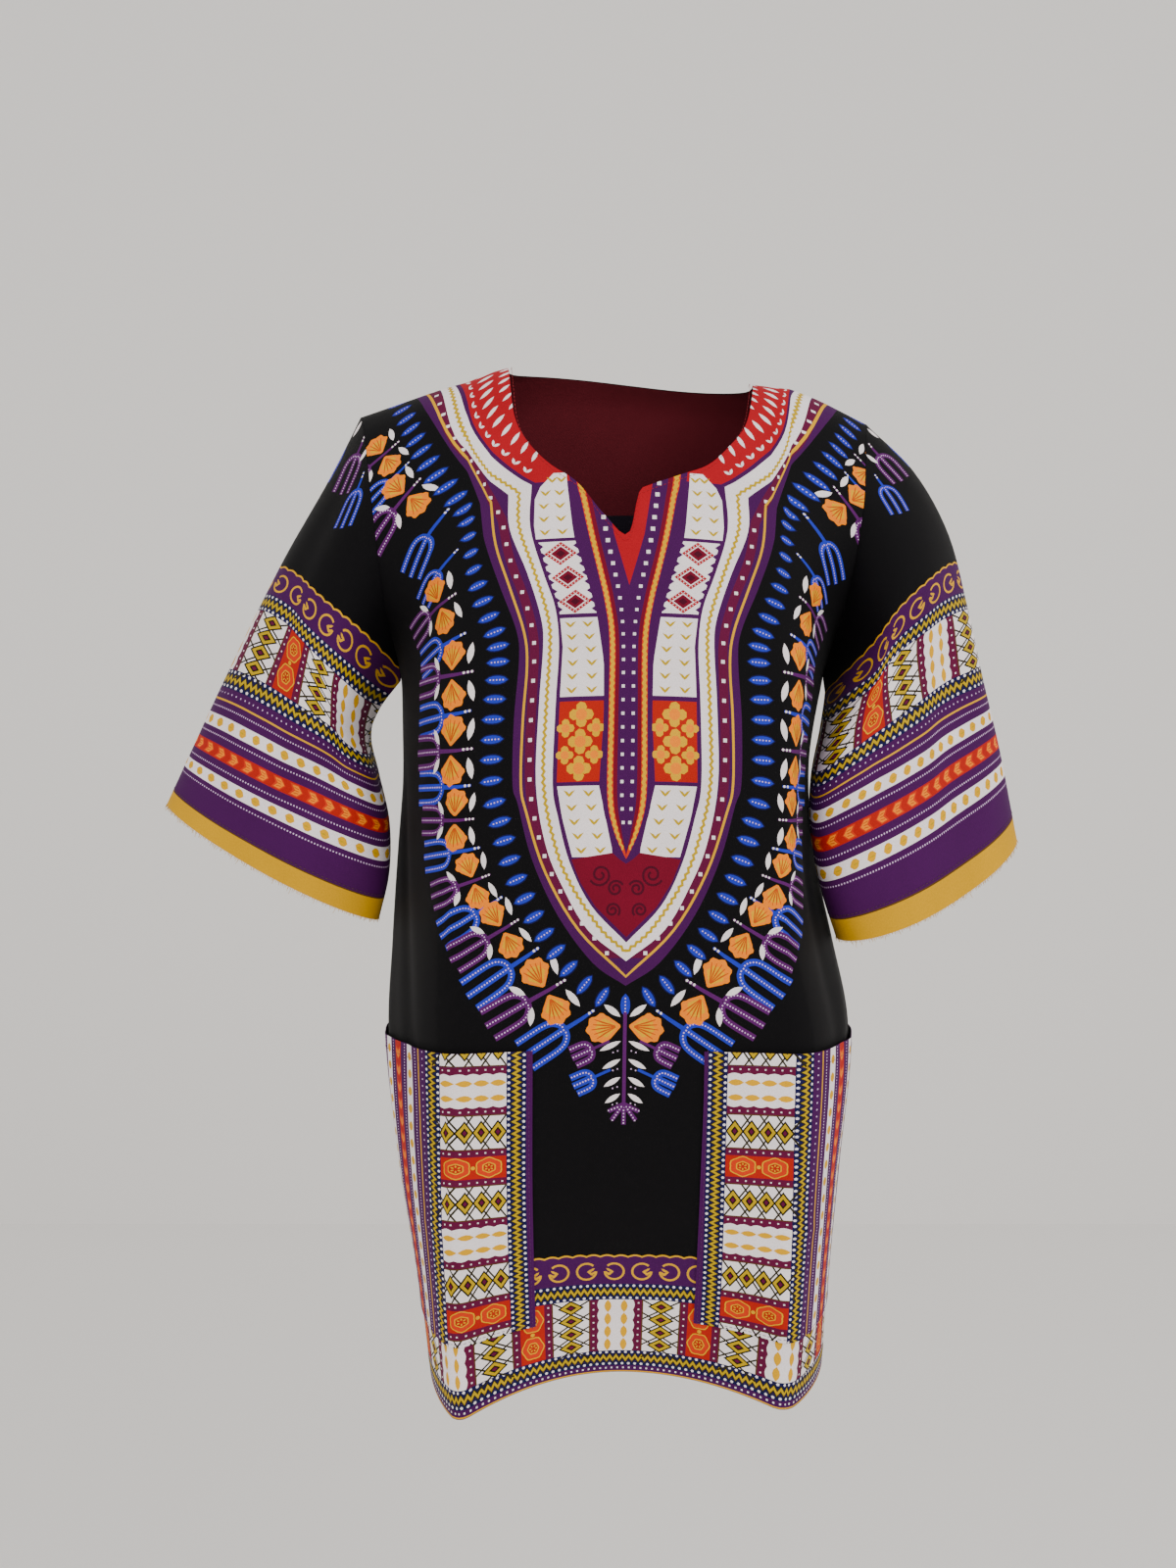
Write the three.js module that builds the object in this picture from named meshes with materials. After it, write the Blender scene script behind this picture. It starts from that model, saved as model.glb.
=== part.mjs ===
// Loose printed cotton tunic (dashiki) with short wide sleeves and two patch pockets, in its worn form.
// Millimetres, +Z up, front towards -Y. The origin lies midway between the two high shoulder points.
import * as THREE from "three";

// ---- Driving dimensions ----
const WALL = 1.5; // thickness of each cloth wall
const SEAM = 0.3; // gap between two pieces at a seam
const SIDE = 8; // the side seams and armpits lie in this plane
// Distances down the cloth from the shoulder seam
const ARMPIT = 245;
const POCKET_TOP = 505;
const POCKET_BOTTOM = 702;
const HEM = 750;
const NECK_TILT = 6; // the left of the neck opening sits this much higher, the right this much lower
const NECK_TILT_FADES = 90; // the tilt is gone this far down the cloth
const NECK_EDGE = 0.715; // the neck opening ends at this share of the way from the centre to the fold
const BACK_NECK_DROP = 26; // how far the back neckline dips, down the cloth
const SIDE_POWER = 0.7; // a lower power makes the sides fuller just behind the corner folds
const BESIDE_SLEEVE = 0.6; // share of that fullness next to the hanging right sleeve
// Between which distances down the cloth the sides fill out, and the right one comes clear of its sleeve.
const SIDES_FILL = { from: 150, to: 300 };
const CLEAR_OF_SLEEVE = { from: 380, to: 500 };
// The corner folds are round at the shoulders and pressed sharp further down.
const FOLD_RADIUS = { round: 26, pressed: 7, from: 60, to: 330 };

// Rows above the armpit are shared with the sleeves, and rows at the pockets with them, so that
// walls follow each other point to point.
const ROWS_ABOVE = 12;
const ROWS_TO_POCKET = 6;
const POCKET_ROWS = 5;
const ROWS_TO_HEM = 2;
const SLEEVE_RINGS = 12;
const CLOSEST_COLUMNS = 0.05; // no column of a pocket lies closer to its inner edge than this
// Columns between neck opening and edge, as shares: 1 is the corner fold, 2 the armhole or side seam.
const SIDE_COLUMNS = [0.8, 0.9, 0.96, 1, 1.04, 1.12, 1.28, 1.46, 1.64, 1.82, 2];

// Each level of a panel, from shoulder seam to hem: how far down the cloth it lies, and where its
// centre line, its pressed corner folds (left and right) and its edges (armhole, then side seam) pass,
// as [x, y, z].
const FRONT = [
  { down: 0, mid: [3, 0, 4], foldL: [-121, 0, -8], edgeL: [-195, 0, -32],
    foldR: [133, 0, -15], edgeR: [180, 0, -37] },
  { down: 22, mid: [3, -21, 0], foldL: [-120, -20, -13], edgeL: [-191, -20, -39],
    foldR: [132, -20, -20], edgeR: [177, -20, -44] },
  { down: 50, mid: [3, -41, -21], foldL: [-119, -39, -33], edgeL: [-185, -40, -61],
    foldR: [130, -38, -40], edgeR: [173, -38, -65] },
  { down: 110, mid: [2, -67, -82], foldL: [-118, -65, -90], edgeL: [-177, -60, -112],
    foldR: [126, -63, -95], edgeR: [167, -58, -114] },
  { down: 175, mid: [2, -94, -147], foldL: [-117, -91, -154], edgeL: [-171, -46, -174],
    foldR: [120, -90, -157], edgeR: [158, -44, -174] },
  { down: 245, mid: [1, -111, -214], foldL: [-116, -107, -222], edgeL: [-166, SIDE, -228],
    foldR: [114, -106, -222], edgeR: [150, SIDE, -226] },
  { down: 310, mid: [0, -119, -281], foldL: [-116, -114, -287], edgeL: [-163, SIDE, -291],
    foldR: [108, -113, -287], edgeR: [139, SIDE, -290] },
  { down: 375, mid: [-1, -121, -348], foldL: [-116, -117, -352], edgeL: [-166, SIDE, -355],
    foldR: [105, -116, -352], edgeR: [143, SIDE, -354] },
  { down: 440, mid: [-1, -120, -414], foldL: [-116, -118, -417], edgeL: [-170, SIDE, -419],
    foldR: [105, -118, -417], edgeR: [156, SIDE, -418] },
  { down: 505, mid: [-2, -117, -480], foldL: [-116, -118, -482], edgeL: [-174, SIDE, -483],
    foldR: [115, -118, -482], edgeR: [166, SIDE, -483] },
  { down: 600, mid: [-3, -106, -574], foldL: [-116, -115, -577], edgeL: [-165, SIDE, -578],
    foldR: [112, -115, -577], edgeR: [158, SIDE, -578] },
  { down: 680, mid: [-3, -91, -648], foldL: [-114, -112, -657], edgeL: [-152, SIDE, -657],
    foldR: [107, -112, -655], edgeR: [151, SIDE, -655] },
  { down: 750, mid: [-4, -77, -709], foldL: [-111, -109, -729], edgeL: [-143, SIDE, -726],
    foldR: [103, -109, -722], edgeR: [147, SIDE, -721] },
];
const BACK = [
  { down: 0, mid: [3, 0, 4], foldL: [-121, 0, -8], edgeL: [-195, 0, -32],
    foldR: [133, 0, -15], edgeR: [180, 0, -37] },
  { down: 22, mid: [3, 21, 1], foldL: [-120, 20, -12], edgeL: [-191, 20, -38],
    foldR: [131, 20, -19], edgeR: [177, 20, -43] },
  { down: 50, mid: [3, 45, -16], foldL: [-119, 42, -30], edgeL: [-186, 40, -60],
    foldR: [128, 41, -37], edgeR: [174, 39, -64] },
  { down: 110, mid: [2, 78, -71], foldL: [-117, 71, -86], edgeL: [-178, 62, -111],
    foldR: [122, 70, -92], edgeR: [167, 61, -113] },
  { down: 175, mid: [2, 101, -137], foldL: [-115, 97, -150], edgeL: [-171, 60, -172],
    foldR: [117, 96, -154], edgeR: [158, 58, -172] },
  { down: 245, mid: [1, 113, -206], foldL: [-114, 111, -218], edgeL: [-166, SIDE, -228],
    foldR: [112, 111, -220], edgeR: [150, SIDE, -226] },
  { down: 310, mid: [0, 117, -271], foldL: [-114, 117, -282], edgeL: [-163, SIDE, -291],
    foldR: [108, 117, -284], edgeR: [139, SIDE, -290] },
  { down: 375, mid: [-1, 117, -336], foldL: [-114, 119, -347], edgeL: [-166, SIDE, -355],
    foldR: [106, 119, -349], edgeR: [143, SIDE, -354] },
  { down: 440, mid: [-1, 115, -401], foldL: [-114, 120, -412], edgeL: [-170, SIDE, -419],
    foldR: [105, 120, -414], edgeR: [156, SIDE, -418] },
  { down: 505, mid: [-2, 113, -466], foldL: [-114, 120, -477], edgeL: [-174, SIDE, -483],
    foldR: [105, 120, -479], edgeR: [166, SIDE, -483] },
  { down: 600, mid: [-3, 107, -561], foldL: [-113, 118, -572], edgeL: [-165, SIDE, -578],
    foldR: [105, 118, -574], edgeR: [158, SIDE, -578] },
  { down: 680, mid: [-3, 100, -640], foldL: [-112, 115, -652], edgeL: [-152, SIDE, -657],
    foldR: [103, 115, -653], edgeR: [151, SIDE, -655] },
  { down: 750, mid: [-4, 93, -711], foldL: [-110, 112, -723], edgeL: [-143, SIDE, -726],
    foldR: [103, 112, -721], edgeR: [147, SIDE, -721] },
];

// The front neckline with its V notch: across is the share of the way from the centre line to the fold.
const FRONT_NECKLINE = [
  { across: -NECK_EDGE, down: 0 },
  { across: -0.7, down: 34 },
  { across: -0.665, down: 70 },
  { across: -0.575, down: 92 },
  { across: -0.45, down: 109 },
  { across: -0.3, down: 123 },
  { across: -0.165, down: 145 },
  { across: -0.015, down: 164 },
  { across: 0.045, down: 139 },
  { across: 0.065, down: 129 },
  { across: 0.32, down: 116 },
  { across: 0.45, down: 108 },
  { across: 0.56, down: 93 },
  { across: 0.66, down: 72 },
  { across: 0.7, down: 38 },
  { across: NECK_EDGE, down: 0 },
];

// Sleeve rings from the armhole to the hem: the outer and inner ends of each ring as [x, y, z], and how
// far its front and back walls stand out from the line between them. along is the share of the sleeve's
// length, and sag is how far the front of a ring hangs lower.
const SLEEVE_LEFT = [
  { along: 0, outer: [-195, 0, -32], inner: [-166, SIDE, -228], front: 62, back: 62, sag: 0 },
  { along: 0.17, outer: [-221, 2, -83], inner: [-182, 4, -250], front: 64, back: 62, sag: 0 },
  { along: 0.33, outer: [-247, 3, -130], inner: [-188, -4, -272], front: 60, back: 60, sag: 0 },
  { along: 0.5, outer: [-272, 3, -178], inner: [-180, -14, -299], front: 54, back: 56, sag: 0 },
  { along: 0.67, outer: [-298, 2, -231], inner: [-171, -22, -332], front: 47, back: 50, sag: 1 },
  { along: 0.84, outer: [-321, 0, -281], inner: [-170, -28, -369], front: 41, back: 44, sag: 3 },
  { along: 1, outer: [-338, -2, -319], inner: [-178, -24, -403], front: 37, back: 40, sag: 6 },
];
const SLEEVE_RIGHT = [
  { along: 0, outer: [180, 0, -37], inner: [150, SIDE, -226], front: 60, back: 62, sag: 0 },
  { along: 0.17, outer: [215, 2, -72], inner: [150, -4, -246], front: 66, back: 64, sag: 0 },
  { along: 0.33, outer: [240, 3, -117], inner: [142, -34, -268], front: 62, back: 70, sag: 0 },
  { along: 0.5, outer: [255, 3, -170], inner: [132, -55, -300], front: 52, back: 72, sag: 0 },
  { along: 0.67, outer: [267, 2, -224], inner: [130, -60, -334], front: 44, back: 70, sag: 2 },
  { along: 0.84, outer: [280, 0, -281], inner: [137, -58, -376], front: 40, back: 64, sag: 6 },
  { along: 1, outer: [291, -4, -345], inner: [150, -50, -414], front: 40, back: 58, sag: 13 },
];

// Soft folds of the sleeves: round is the angle from the outer end, front first, in degrees; depth is
// inwards.
const FOLDS_LEFT = [
  { round: 52, along: 0.3, slant: 18, width: 17, reach: 0.3, depth: 4 },
  { round: 118, along: 0.62, slant: -30, width: 15, reach: 0.26, depth: 5 },
  { round: 236, along: 0.45, slant: 22, width: 18, reach: 0.34, depth: 5 },
  { round: 304, along: 0.6, slant: -15, width: 17, reach: 0.3, depth: 4 },
];
const FOLDS_RIGHT = [
  { round: 104, along: 0.38, slant: -34, width: 24, reach: 0.26, depth: 9 },
  { round: 62, along: 0.7, slant: 14, width: 18, reach: 0.3, depth: 5 },
  { round: 230, along: 0.5, slant: -24, width: 18, reach: 0.34, depth: 6 },
  { round: 300, along: 0.35, slant: 20, width: 17, reach: 0.3, depth: 4 },
];

// Patch pockets, wrapped round the front's corner folds and sewn just short of the side seams.
// A pocket starts at inner, where 1 is the corner fold.
const POCKETS = [
  { name: "pocket_left", side: -1, inner: 0.53 },
  { name: "pocket_right", side: 1, inner: 0.447 },
];
const POCKET_OUTER = 1.965; // where both pockets end, 2 being the side seam
const POCKET_SLACK = 2.5; // how far the mouth of a pocket stands off the front

// ---- Curves and surfaces ----
const clamp = (x) => Math.min(1, Math.max(0, x));
const ease = (from, to, x) => {
  const t = clamp((x - from) / (to - from));
  return t * t * (3 - 2 * t);
};
const mix = (a, b, t) => a + (b - a) * t;
const steps = (from, to, count) => Array.from({ length: count + 1 }, (_, i) => mix(from, to, i / count));

const pick = (cell, n) => (Array.isArray(cell) ? cell[n] : cell);

/** A smooth curve through a column of a table: cubic pieces with slopes from the neighbouring rows. */
function through(table, key, column, at) {
  const last = table.length - 1;
  let i = 0;
  while (i < last - 1 && at > table[i + 1][key]) i++;
  const slope = (k, n) => {
    const [a, b] = [table[Math.max(0, k - 1)], table[Math.min(last, k + 1)]];
    return (pick(b[column], n) - pick(a[column], n)) / (b[key] - a[key]);
  };
  const [p, q] = [table[i], table[i + 1]];
  const span = q[key] - p[key];
  const t = (at - p[key]) / span;
  const value = (n) =>
    pick(p[column], n) * (1 + 2 * t) * (1 - t) ** 2 +
    slope(i, n) * span * t * (1 - t) ** 2 +
    pick(q[column], n) * t * t * (3 - 2 * t) +
    slope(i + 1, n) * span * t * t * (t - 1);
  return Array.isArray(p[column]) ? new THREE.Vector3(value(0), value(1), value(2)) : value(0);
}

/** How round a panel's corner fold is, along the cloth: soft over the chest, pressed below it. */
const foldRadius = (down) =>
  mix(FOLD_RADIUS.round, FOLD_RADIUS.pressed, ease(FOLD_RADIUS.from, FOLD_RADIUS.to, down));

/** How far the side of a panel is rounded towards its side seam: less beside the right sleeve. */
const sideRoundness = (hand, down) => {
  const clear = hand === "L" ? 1 : ease(CLEAR_OF_SLEEVE.from, CLEAR_OF_SLEEVE.to, down);
  return ease(SIDES_FILL.from, SIDES_FILL.to, down) * mix(BESIDE_SLEEVE, 1, clear);
};

/** A point of a panel: across runs from -2 at the left edge to 2 at the right, by -1 and 1 at the folds. */
function panelPoint(levels, across, down) {
  const hand = across < 0 ? "L" : "R";
  const mid = through(levels, "down", "mid", down);
  const fold = through(levels, "down", "fold" + hand, down);
  const edge = through(levels, "down", "edge" + hand, down);
  if (down >= ARMPIT) edge.y = SIDE;
  const a = Math.abs(across);
  const faceLength = fold.distanceTo(mid);
  const sideLength = edge.distanceTo(fold);
  const onFace = (f) =>
    new THREE.Vector3(mix(mid.x, fold.x, f), mix(mid.y, fold.y, f * f), mix(mid.z, fold.z, f * f));
  const onSide = (g) => {
    const out = mix(g, Math.sin((g * Math.PI) / 2) ** SIDE_POWER, sideRoundness(hand, down));
    return new THREE.Vector3(mix(fold.x, edge.x, out), mix(fold.y, edge.y, g), mix(fold.z, edge.z, g));
  };
  const radius = foldRadius(down);
  const before = Math.min(0.45, radius / faceLength);
  const after = Math.min(0.45, radius / sideLength);
  let p;
  if (a <= 1 - before) p = onFace(a);
  else if (a >= 1 + after) p = onSide(a - 1);
  else {
    const t = (a - 1 + before) / (before + after);
    p = onFace(1 - before)
      .multiplyScalar((1 - t) ** 2)
      .addScaledVector(fold, 2 * t * (1 - t))
      .addScaledVector(onSide(after), t * t);
  }
  const tilt = NECK_TILT * Math.sin(Math.PI * Math.min(a, 1)) * (1 - ease(0, NECK_TILT_FADES, down));
  p.z -= Math.sign(across) * tilt;
  return p;
}

/** The outward normal of a surface, from small steps each way. turn is 1 or -1. */
function normalOf(surface, a, b, stepA, stepB, turn) {
  const alongA = surface(a + stepA, b).sub(surface(a - stepA, b));
  const alongB = surface(a, b + stepB).sub(surface(a, b - stepB));
  return alongA.cross(alongB).normalize().multiplyScalar(turn);
}

/** A ring of a sleeve is the armhole at its start and soon the plain oval of the sleeve's table. */
function sleevePoint(sleeve, round, along) {
  const angle = THREE.MathUtils.degToRad(round);
  const oval = (at) => {
    const outer = through(sleeve.rings, "along", "outer", at);
    const inner = through(sleeve.rings, "along", "inner", at);
    const p = outer.lerp(inner, (1 - Math.cos(angle)) / 2);
    const side = Math.sin(angle) >= 0 ? "front" : "back";
    p.y -= Math.sin(angle) * through(sleeve.rings, "along", side, at);
    p.z -= Math.max(0, Math.sin(angle)) ** 1.5 * through(sleeve.rings, "along", "sag", at);
    return p;
  };
  const fromArmhole = armholePoint(sleeve, round).sub(oval(0));
  return oval(along).addScaledVector(fromArmhole, 1 - ease(0, 0.4, along));
}

/** The armhole ring: down the front panel's edge to the armpit, then up the back panel's. */
function armholePoint(sleeve, round) {
  const turn = ((round % 360) + 360) % 360;
  const inFront = turn <= 180;
  const down = ARMPIT * (inFront ? turn / 180 : 2 - turn / 180);
  const p = panelPoint(inFront ? FRONT : BACK, 2 * sleeve.side, down);
  p.x += sleeve.side * SEAM;
  p.y += inFront ? 0 : SEAM;
  return p;
}

/** How far the folds of a sleeve press its wall in at a point. */
function foldDepth(sleeve, round, along) {
  let depth = 0;
  for (const fold of sleeve.folds) {
    const off = along - fold.along;
    const turn = ((((round - fold.round - fold.slant * (off / fold.reach)) % 360) + 540) % 360) - 180;
    depth += fold.depth * Math.exp(-((turn / fold.width) ** 2) - (off / fold.reach) ** 2);
  }
  return depth * ease(0, 0.15, along);
}

// ---- Closed walls from grids of points ----
/** A closed wall: outer and inner grids of points, rows by columns; a tube's rows close on themselves. */
function wall(outer, inner, isTube) {
  const rows = outer.length;
  const columns = outer[0].length;
  const positions = [...outer.flat(), ...inner.flat()].flatMap((p) => [p.x, p.y, p.z]);
  const out = (r, c) => r * columns + (c % columns);
  const into = (r, c) => rows * columns + out(r, c);
  const index = [];
  const quad = (a, b, c, d) => index.push(a, b, c, a, c, d);
  const spans = isTube ? columns : columns - 1;
  for (let c = 0; c < spans; c++) {
    for (let r = 0; r < rows - 1; r++) {
      quad(out(r, c), out(r + 1, c), out(r + 1, c + 1), out(r, c + 1));
      quad(into(r, c), into(r, c + 1), into(r + 1, c + 1), into(r + 1, c));
    }
    quad(out(0, c + 1), into(0, c + 1), into(0, c), out(0, c));
    quad(out(rows - 1, c), into(rows - 1, c), into(rows - 1, c + 1), out(rows - 1, c + 1));
  }
  if (!isTube) {
    const end = columns - 1;
    for (let r = 0; r < rows - 1; r++) {
      quad(out(r, 0), into(r, 0), into(r + 1, 0), out(r + 1, 0));
      quad(out(r + 1, end), into(r + 1, end), into(r, end), out(r, end));
    }
  }
  const geometry = new THREE.BufferGeometry();
  geometry.setAttribute("position", new THREE.Float32BufferAttribute(positions, 3));
  geometry.setIndex(index);
  geometry.computeVertexNormals();
  return geometry;
}

/** The same wall with its faces turned round. */
function flipped(geometry) {
  const index = Array.from(geometry.index.array);
  for (let i = 0; i < index.length; i += 3) [index[i], index[i + 1]] = [index[i + 1], index[i]];
  geometry.setIndex(index);
  geometry.computeVertexNormals();
  return geometry;
}

const POCKET_LEVELS = steps(POCKET_TOP, POCKET_BOTTOM, POCKET_ROWS);

/** Rows of both panels, as distances down the cloth. */
const ROWS = [
  ...steps(0, ARMPIT, ROWS_ABOVE),
  ...steps(ARMPIT, POCKET_TOP, ROWS_TO_POCKET).slice(1, -1),
  ...POCKET_LEVELS,
  ...steps(POCKET_BOTTOM, HEM, ROWS_TO_HEM).slice(1),
];

/** Below the neck, the columns that start at its points are evenly spaced. */
const faceColumns = (neckline) => steps(-NECK_EDGE, NECK_EDGE, neckline.length - 1);

/**
 * A panel between neckline, shoulder seams, armholes, side seams and hem. facing is -1 in front, 1 behind.
 * Columns that start at the neckline spread out evenly below it.
 */
function panelWall(levels, facing, neckline) {
  const below = faceColumns(neckline);
  const spread = neckline.map((point, i) => ({ ...point, below: below[i] }));
  const columns = [
    ...SIDE_COLUMNS.map((a) => ({ across: -a, below: -a, down: 0 })).reverse(),
    ...spread,
    ...SIDE_COLUMNS.map((a) => ({ across: a, below: a, down: 0 })),
  ];
  const surface = (a, d) => panelPoint(levels, a, d);
  const outer = [];
  const inner = [];
  for (const row of ROWS) {
    const outerRow = [];
    const innerRow = [];
    for (const column of columns) {
      const down = row < ARMPIT ? mix(column.down, ARMPIT, row / ARMPIT) : row;
      const across = mix(column.across, column.below, ease(0, ARMPIT, row));
      const p = surface(across, down);
      const inwards = normalOf(surface, across, down, 0.01, 1, facing).negate();
      const outX = Math.sign(across);
      const onEdge = Math.abs(across) === 2;
      if (onEdge && row >= ARMPIT) inwards.y = 0;
      if (onEdge && inwards.x * outX > 0) inwards.x = 0;
      if (down === 0) inwards.set(0, 0, -1);
      inwards.normalize();
      if (facing > 0) p.y += SEAM;
      outerRow.push(p);
      innerRow.push(p.clone().addScaledVector(inwards, WALL));
    }
    outer.push(outerRow);
    inner.push(innerRow);
  }
  const geometry = wall(outer, inner, false);
  return facing < 0 ? geometry : flipped(geometry);
}

/** The back neckline is a shallow scoop between the same two neck points. */
function backNeckline() {
  return steps(0, 1, 12).map((share) => {
    const turn = Math.PI * share;
    const down = share % 1 === 0 ? 0 : BACK_NECK_DROP * Math.sin(turn) ** 0.8;
    return { across: -NECK_EDGE * Math.cos(turn), down };
  });
}

/** A sleeve: a tube from the armhole to its hem. */
function sleeveWall(sleeve) {
  const bare = (round, along) => sleevePoint(sleeve, round, along);
  const folded = (round, along) => {
    const n = normalOf(bare, round, along, 1, 0.004, sleeve.side);
    return bare(round, along).addScaledVector(n, -foldDepth(sleeve, round, along));
  };
  const outer = [];
  const inner = [];
  for (let k = 0; k <= SLEEVE_RINGS; k++) {
    const along = k / SLEEVE_RINGS;
    const outerRow = [];
    const innerRow = [];
    for (let i = 0; i < 2 * ROWS_ABOVE; i++) {
      const round = (180 * i) / ROWS_ABOVE;
      const p = folded(round, along);
      const inwards = normalOf(folded, round, Math.max(along, 0.004), 1, 0.004, sleeve.side).negate();
      if (k === 0 && inwards.x * sleeve.side < 0) inwards.x = 0;
      outerRow.push(p);
      innerRow.push(p.clone().addScaledVector(inwards.normalize(), WALL));
    }
    outer.push(outerRow);
    inner.push(innerRow);
  }
  const geometry = wall(outer, inner, true);
  return sleeve.side > 0 ? flipped(geometry) : geometry;
}

/** A patch pocket, made from the front panel's own rows and columns, moved out. */
function pocketWall(pocket) {
  const surface = (a, d) => panelPoint(FRONT, a, d);
  const onFace = faceColumns(FRONT_NECKLINE).filter((a) => a > pocket.inner + CLOSEST_COLUMNS);
  const columns = [pocket.inner, ...onFace, ...SIDE_COLUMNS.slice(0, -1), POCKET_OUTER];
  if (pocket.side < 0) columns.reverse();
  const outer = [];
  const inner = [];
  POCKET_LEVELS.forEach((down, row) => {
    const outerRow = [];
    const innerRow = [];
    for (const column of columns) {
      const across = pocket.side * column;
      const outwards = normalOf(surface, across, down, 0.01, 1, -1);
      const share = (column - pocket.inner) / (POCKET_OUTER - pocket.inner);
      const slack = POCKET_SLACK * Math.sin(Math.PI * share) * (1 - row / POCKET_ROWS) ** 2;
      const p = surface(across, down);
      innerRow.push(p.clone().addScaledVector(outwards, SEAM + slack));
      outerRow.push(p.clone().addScaledVector(outwards, SEAM + slack + WALL));
    }
    outer.push(outerRow);
    inner.push(innerRow);
  });
  return wall(outer, inner, false);
}

// ---- Parts ----
const tunic = new THREE.Group();

/** Adds one named piece of cloth with its own material. */
function addPiece(name, geometry, color) {
  const material = new THREE.MeshStandardMaterial({ color, roughness: 0.85, metalness: 0 });
  const mesh = new THREE.Mesh(geometry, material);
  mesh.name = name;
  tunic.add(mesh);
}

addPiece("front", panelWall(FRONT, -1, FRONT_NECKLINE), "#17131a");
addPiece("back", panelWall(BACK, 1, backNeckline()), "#17131a");
addPiece("sleeve_left", sleeveWall({ side: -1, rings: SLEEVE_LEFT, folds: FOLDS_LEFT }), "#4a1d55");
addPiece("sleeve_right", sleeveWall({ side: 1, rings: SLEEVE_RIGHT, folds: FOLDS_RIGHT }), "#4a1d55");
for (const pocket of POCKETS) addPiece(pocket.name, pocketWall(pocket), "#c9b98f");

export default tunic;
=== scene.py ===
"""A printed cotton dashiki tunic in its worn form. Sizes are in millimetres until a mesh is made."""
import math
import random

import bpy
import numpy as np
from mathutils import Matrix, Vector
from mathutils.geometry import delaunay_2d_cdt


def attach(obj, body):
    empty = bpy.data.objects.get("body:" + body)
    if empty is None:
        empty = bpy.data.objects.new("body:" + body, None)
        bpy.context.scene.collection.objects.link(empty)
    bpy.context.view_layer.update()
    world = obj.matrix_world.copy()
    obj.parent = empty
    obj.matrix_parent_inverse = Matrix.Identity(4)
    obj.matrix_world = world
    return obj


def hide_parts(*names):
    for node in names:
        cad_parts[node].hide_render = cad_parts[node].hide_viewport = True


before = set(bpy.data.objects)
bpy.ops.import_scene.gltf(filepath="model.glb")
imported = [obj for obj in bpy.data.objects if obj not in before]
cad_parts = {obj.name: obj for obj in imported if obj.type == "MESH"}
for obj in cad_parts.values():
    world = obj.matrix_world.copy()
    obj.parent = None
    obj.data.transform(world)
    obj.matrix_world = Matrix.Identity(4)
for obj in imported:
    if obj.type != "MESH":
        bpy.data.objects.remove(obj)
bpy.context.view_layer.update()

# ---- Camera: photograph's frame is 1200 x 1600 ----
camera_data = bpy.data.cameras.new("camera")
camera = bpy.data.objects.new("camera", camera_data)
bpy.context.collection.objects.link(camera)
camera.location = (-0.026, -1.0, -0.305)
camera.rotation_euler = (math.radians(90), 0, 0)
camera_data.sensor_width = 36
camera_data.lens = 30.825
camera_data.clip_start = 0.02
bpy.context.scene.camera = camera

# ---- Sizes ----
SIDE = 8  # side seams and armpits lie in this plane
ARMPIT, POCKET_TOP, POCKET_BOTTOM, HEM = 245, 505, 702, 750  # down the cloth
NECK_TILT, NECK_TILT_FADES, NECK_EDGE, BACK_NECK_DROP = 6, 90, 0.715, 26
SIDE_POWER, BESIDE_SLEEVE = 0.7, 0.6
SIDES_FILL, CLEAR_OF_SLEEVE = (150, 300), (380, 500)  # down the cloth: the sides grow full, and pass the right sleeve
FOLD_RADIUS, FOLD_SHARPENS = (26, 7), (60, 330)  # of the corner folds above and below, and from and to which level
MOST_OF_SIDE = 0.45  # a fold's round takes at most this share of the cloth beside it
POCKET_OUTER, POCKET_SLACK = 1.965, 2.5
SEAM = 0.3  # gap between pieces
CLOTH = 0.8  # thickness of a layer of cloth
GRID = 5.0  # spacing of the cloth's own points
INNER_GRID = 10.0
EDGE = 4.0  # no printed edge is longer between its points, so that it follows the folds
LEVEL_STEP = 10.0  # between the levels where the cloth is measured
SAMPLES = 33  # along a stretch of a level
TURNS = 145  # round a sleeve, the middle one being its outer end
RING_LEVEL = 0.7  # where along a sleeve its flat width is measured

# Levels of the panels: down the cloth, then x, y, z of centre line, left fold, left edge, right fold, right edge
FRONT = [
    (0, (3, 0, 4), (-121, 0, -8), (-195, 0, -32), (133, 0, -15), (180, 0, -37)),
    (22, (3, -21, 0), (-120, -20, -13), (-191, -20, -39), (132, -20, -20), (177, -20, -44)),
    (50, (3, -41, -21), (-119, -39, -33), (-185, -40, -61), (130, -38, -40), (173, -38, -65)),
    (110, (2, -67, -82), (-118, -65, -90), (-177, -60, -112), (126, -63, -95), (167, -58, -114)),
    (175, (2, -94, -147), (-117, -91, -154), (-171, -46, -174), (120, -90, -157), (158, -44, -174)),
    (245, (1, -111, -214), (-116, -107, -222), (-166, 8, -228), (114, -106, -222), (150, 8, -226)),
    (310, (0, -119, -281), (-116, -114, -287), (-163, 8, -291), (108, -113, -287), (139, 8, -290)),
    (375, (-1, -121, -348), (-116, -117, -352), (-166, 8, -355), (105, -116, -352), (143, 8, -354)),
    (440, (-1, -120, -414), (-116, -118, -417), (-170, 8, -419), (105, -118, -417), (156, 8, -418)),
    (505, (-2, -117, -480), (-116, -118, -482), (-174, 8, -483), (115, -118, -482), (166, 8, -483)),
    (600, (-3, -106, -574), (-116, -115, -577), (-165, 8, -578), (112, -115, -577), (158, 8, -578)),
    (680, (-3, -91, -648), (-114, -112, -657), (-152, 8, -657), (107, -112, -655), (151, 8, -655)),
    (750, (-4, -77, -709), (-111, -109, -729), (-143, 8, -726), (103, -109, -722), (147, 8, -721)),
]
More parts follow.
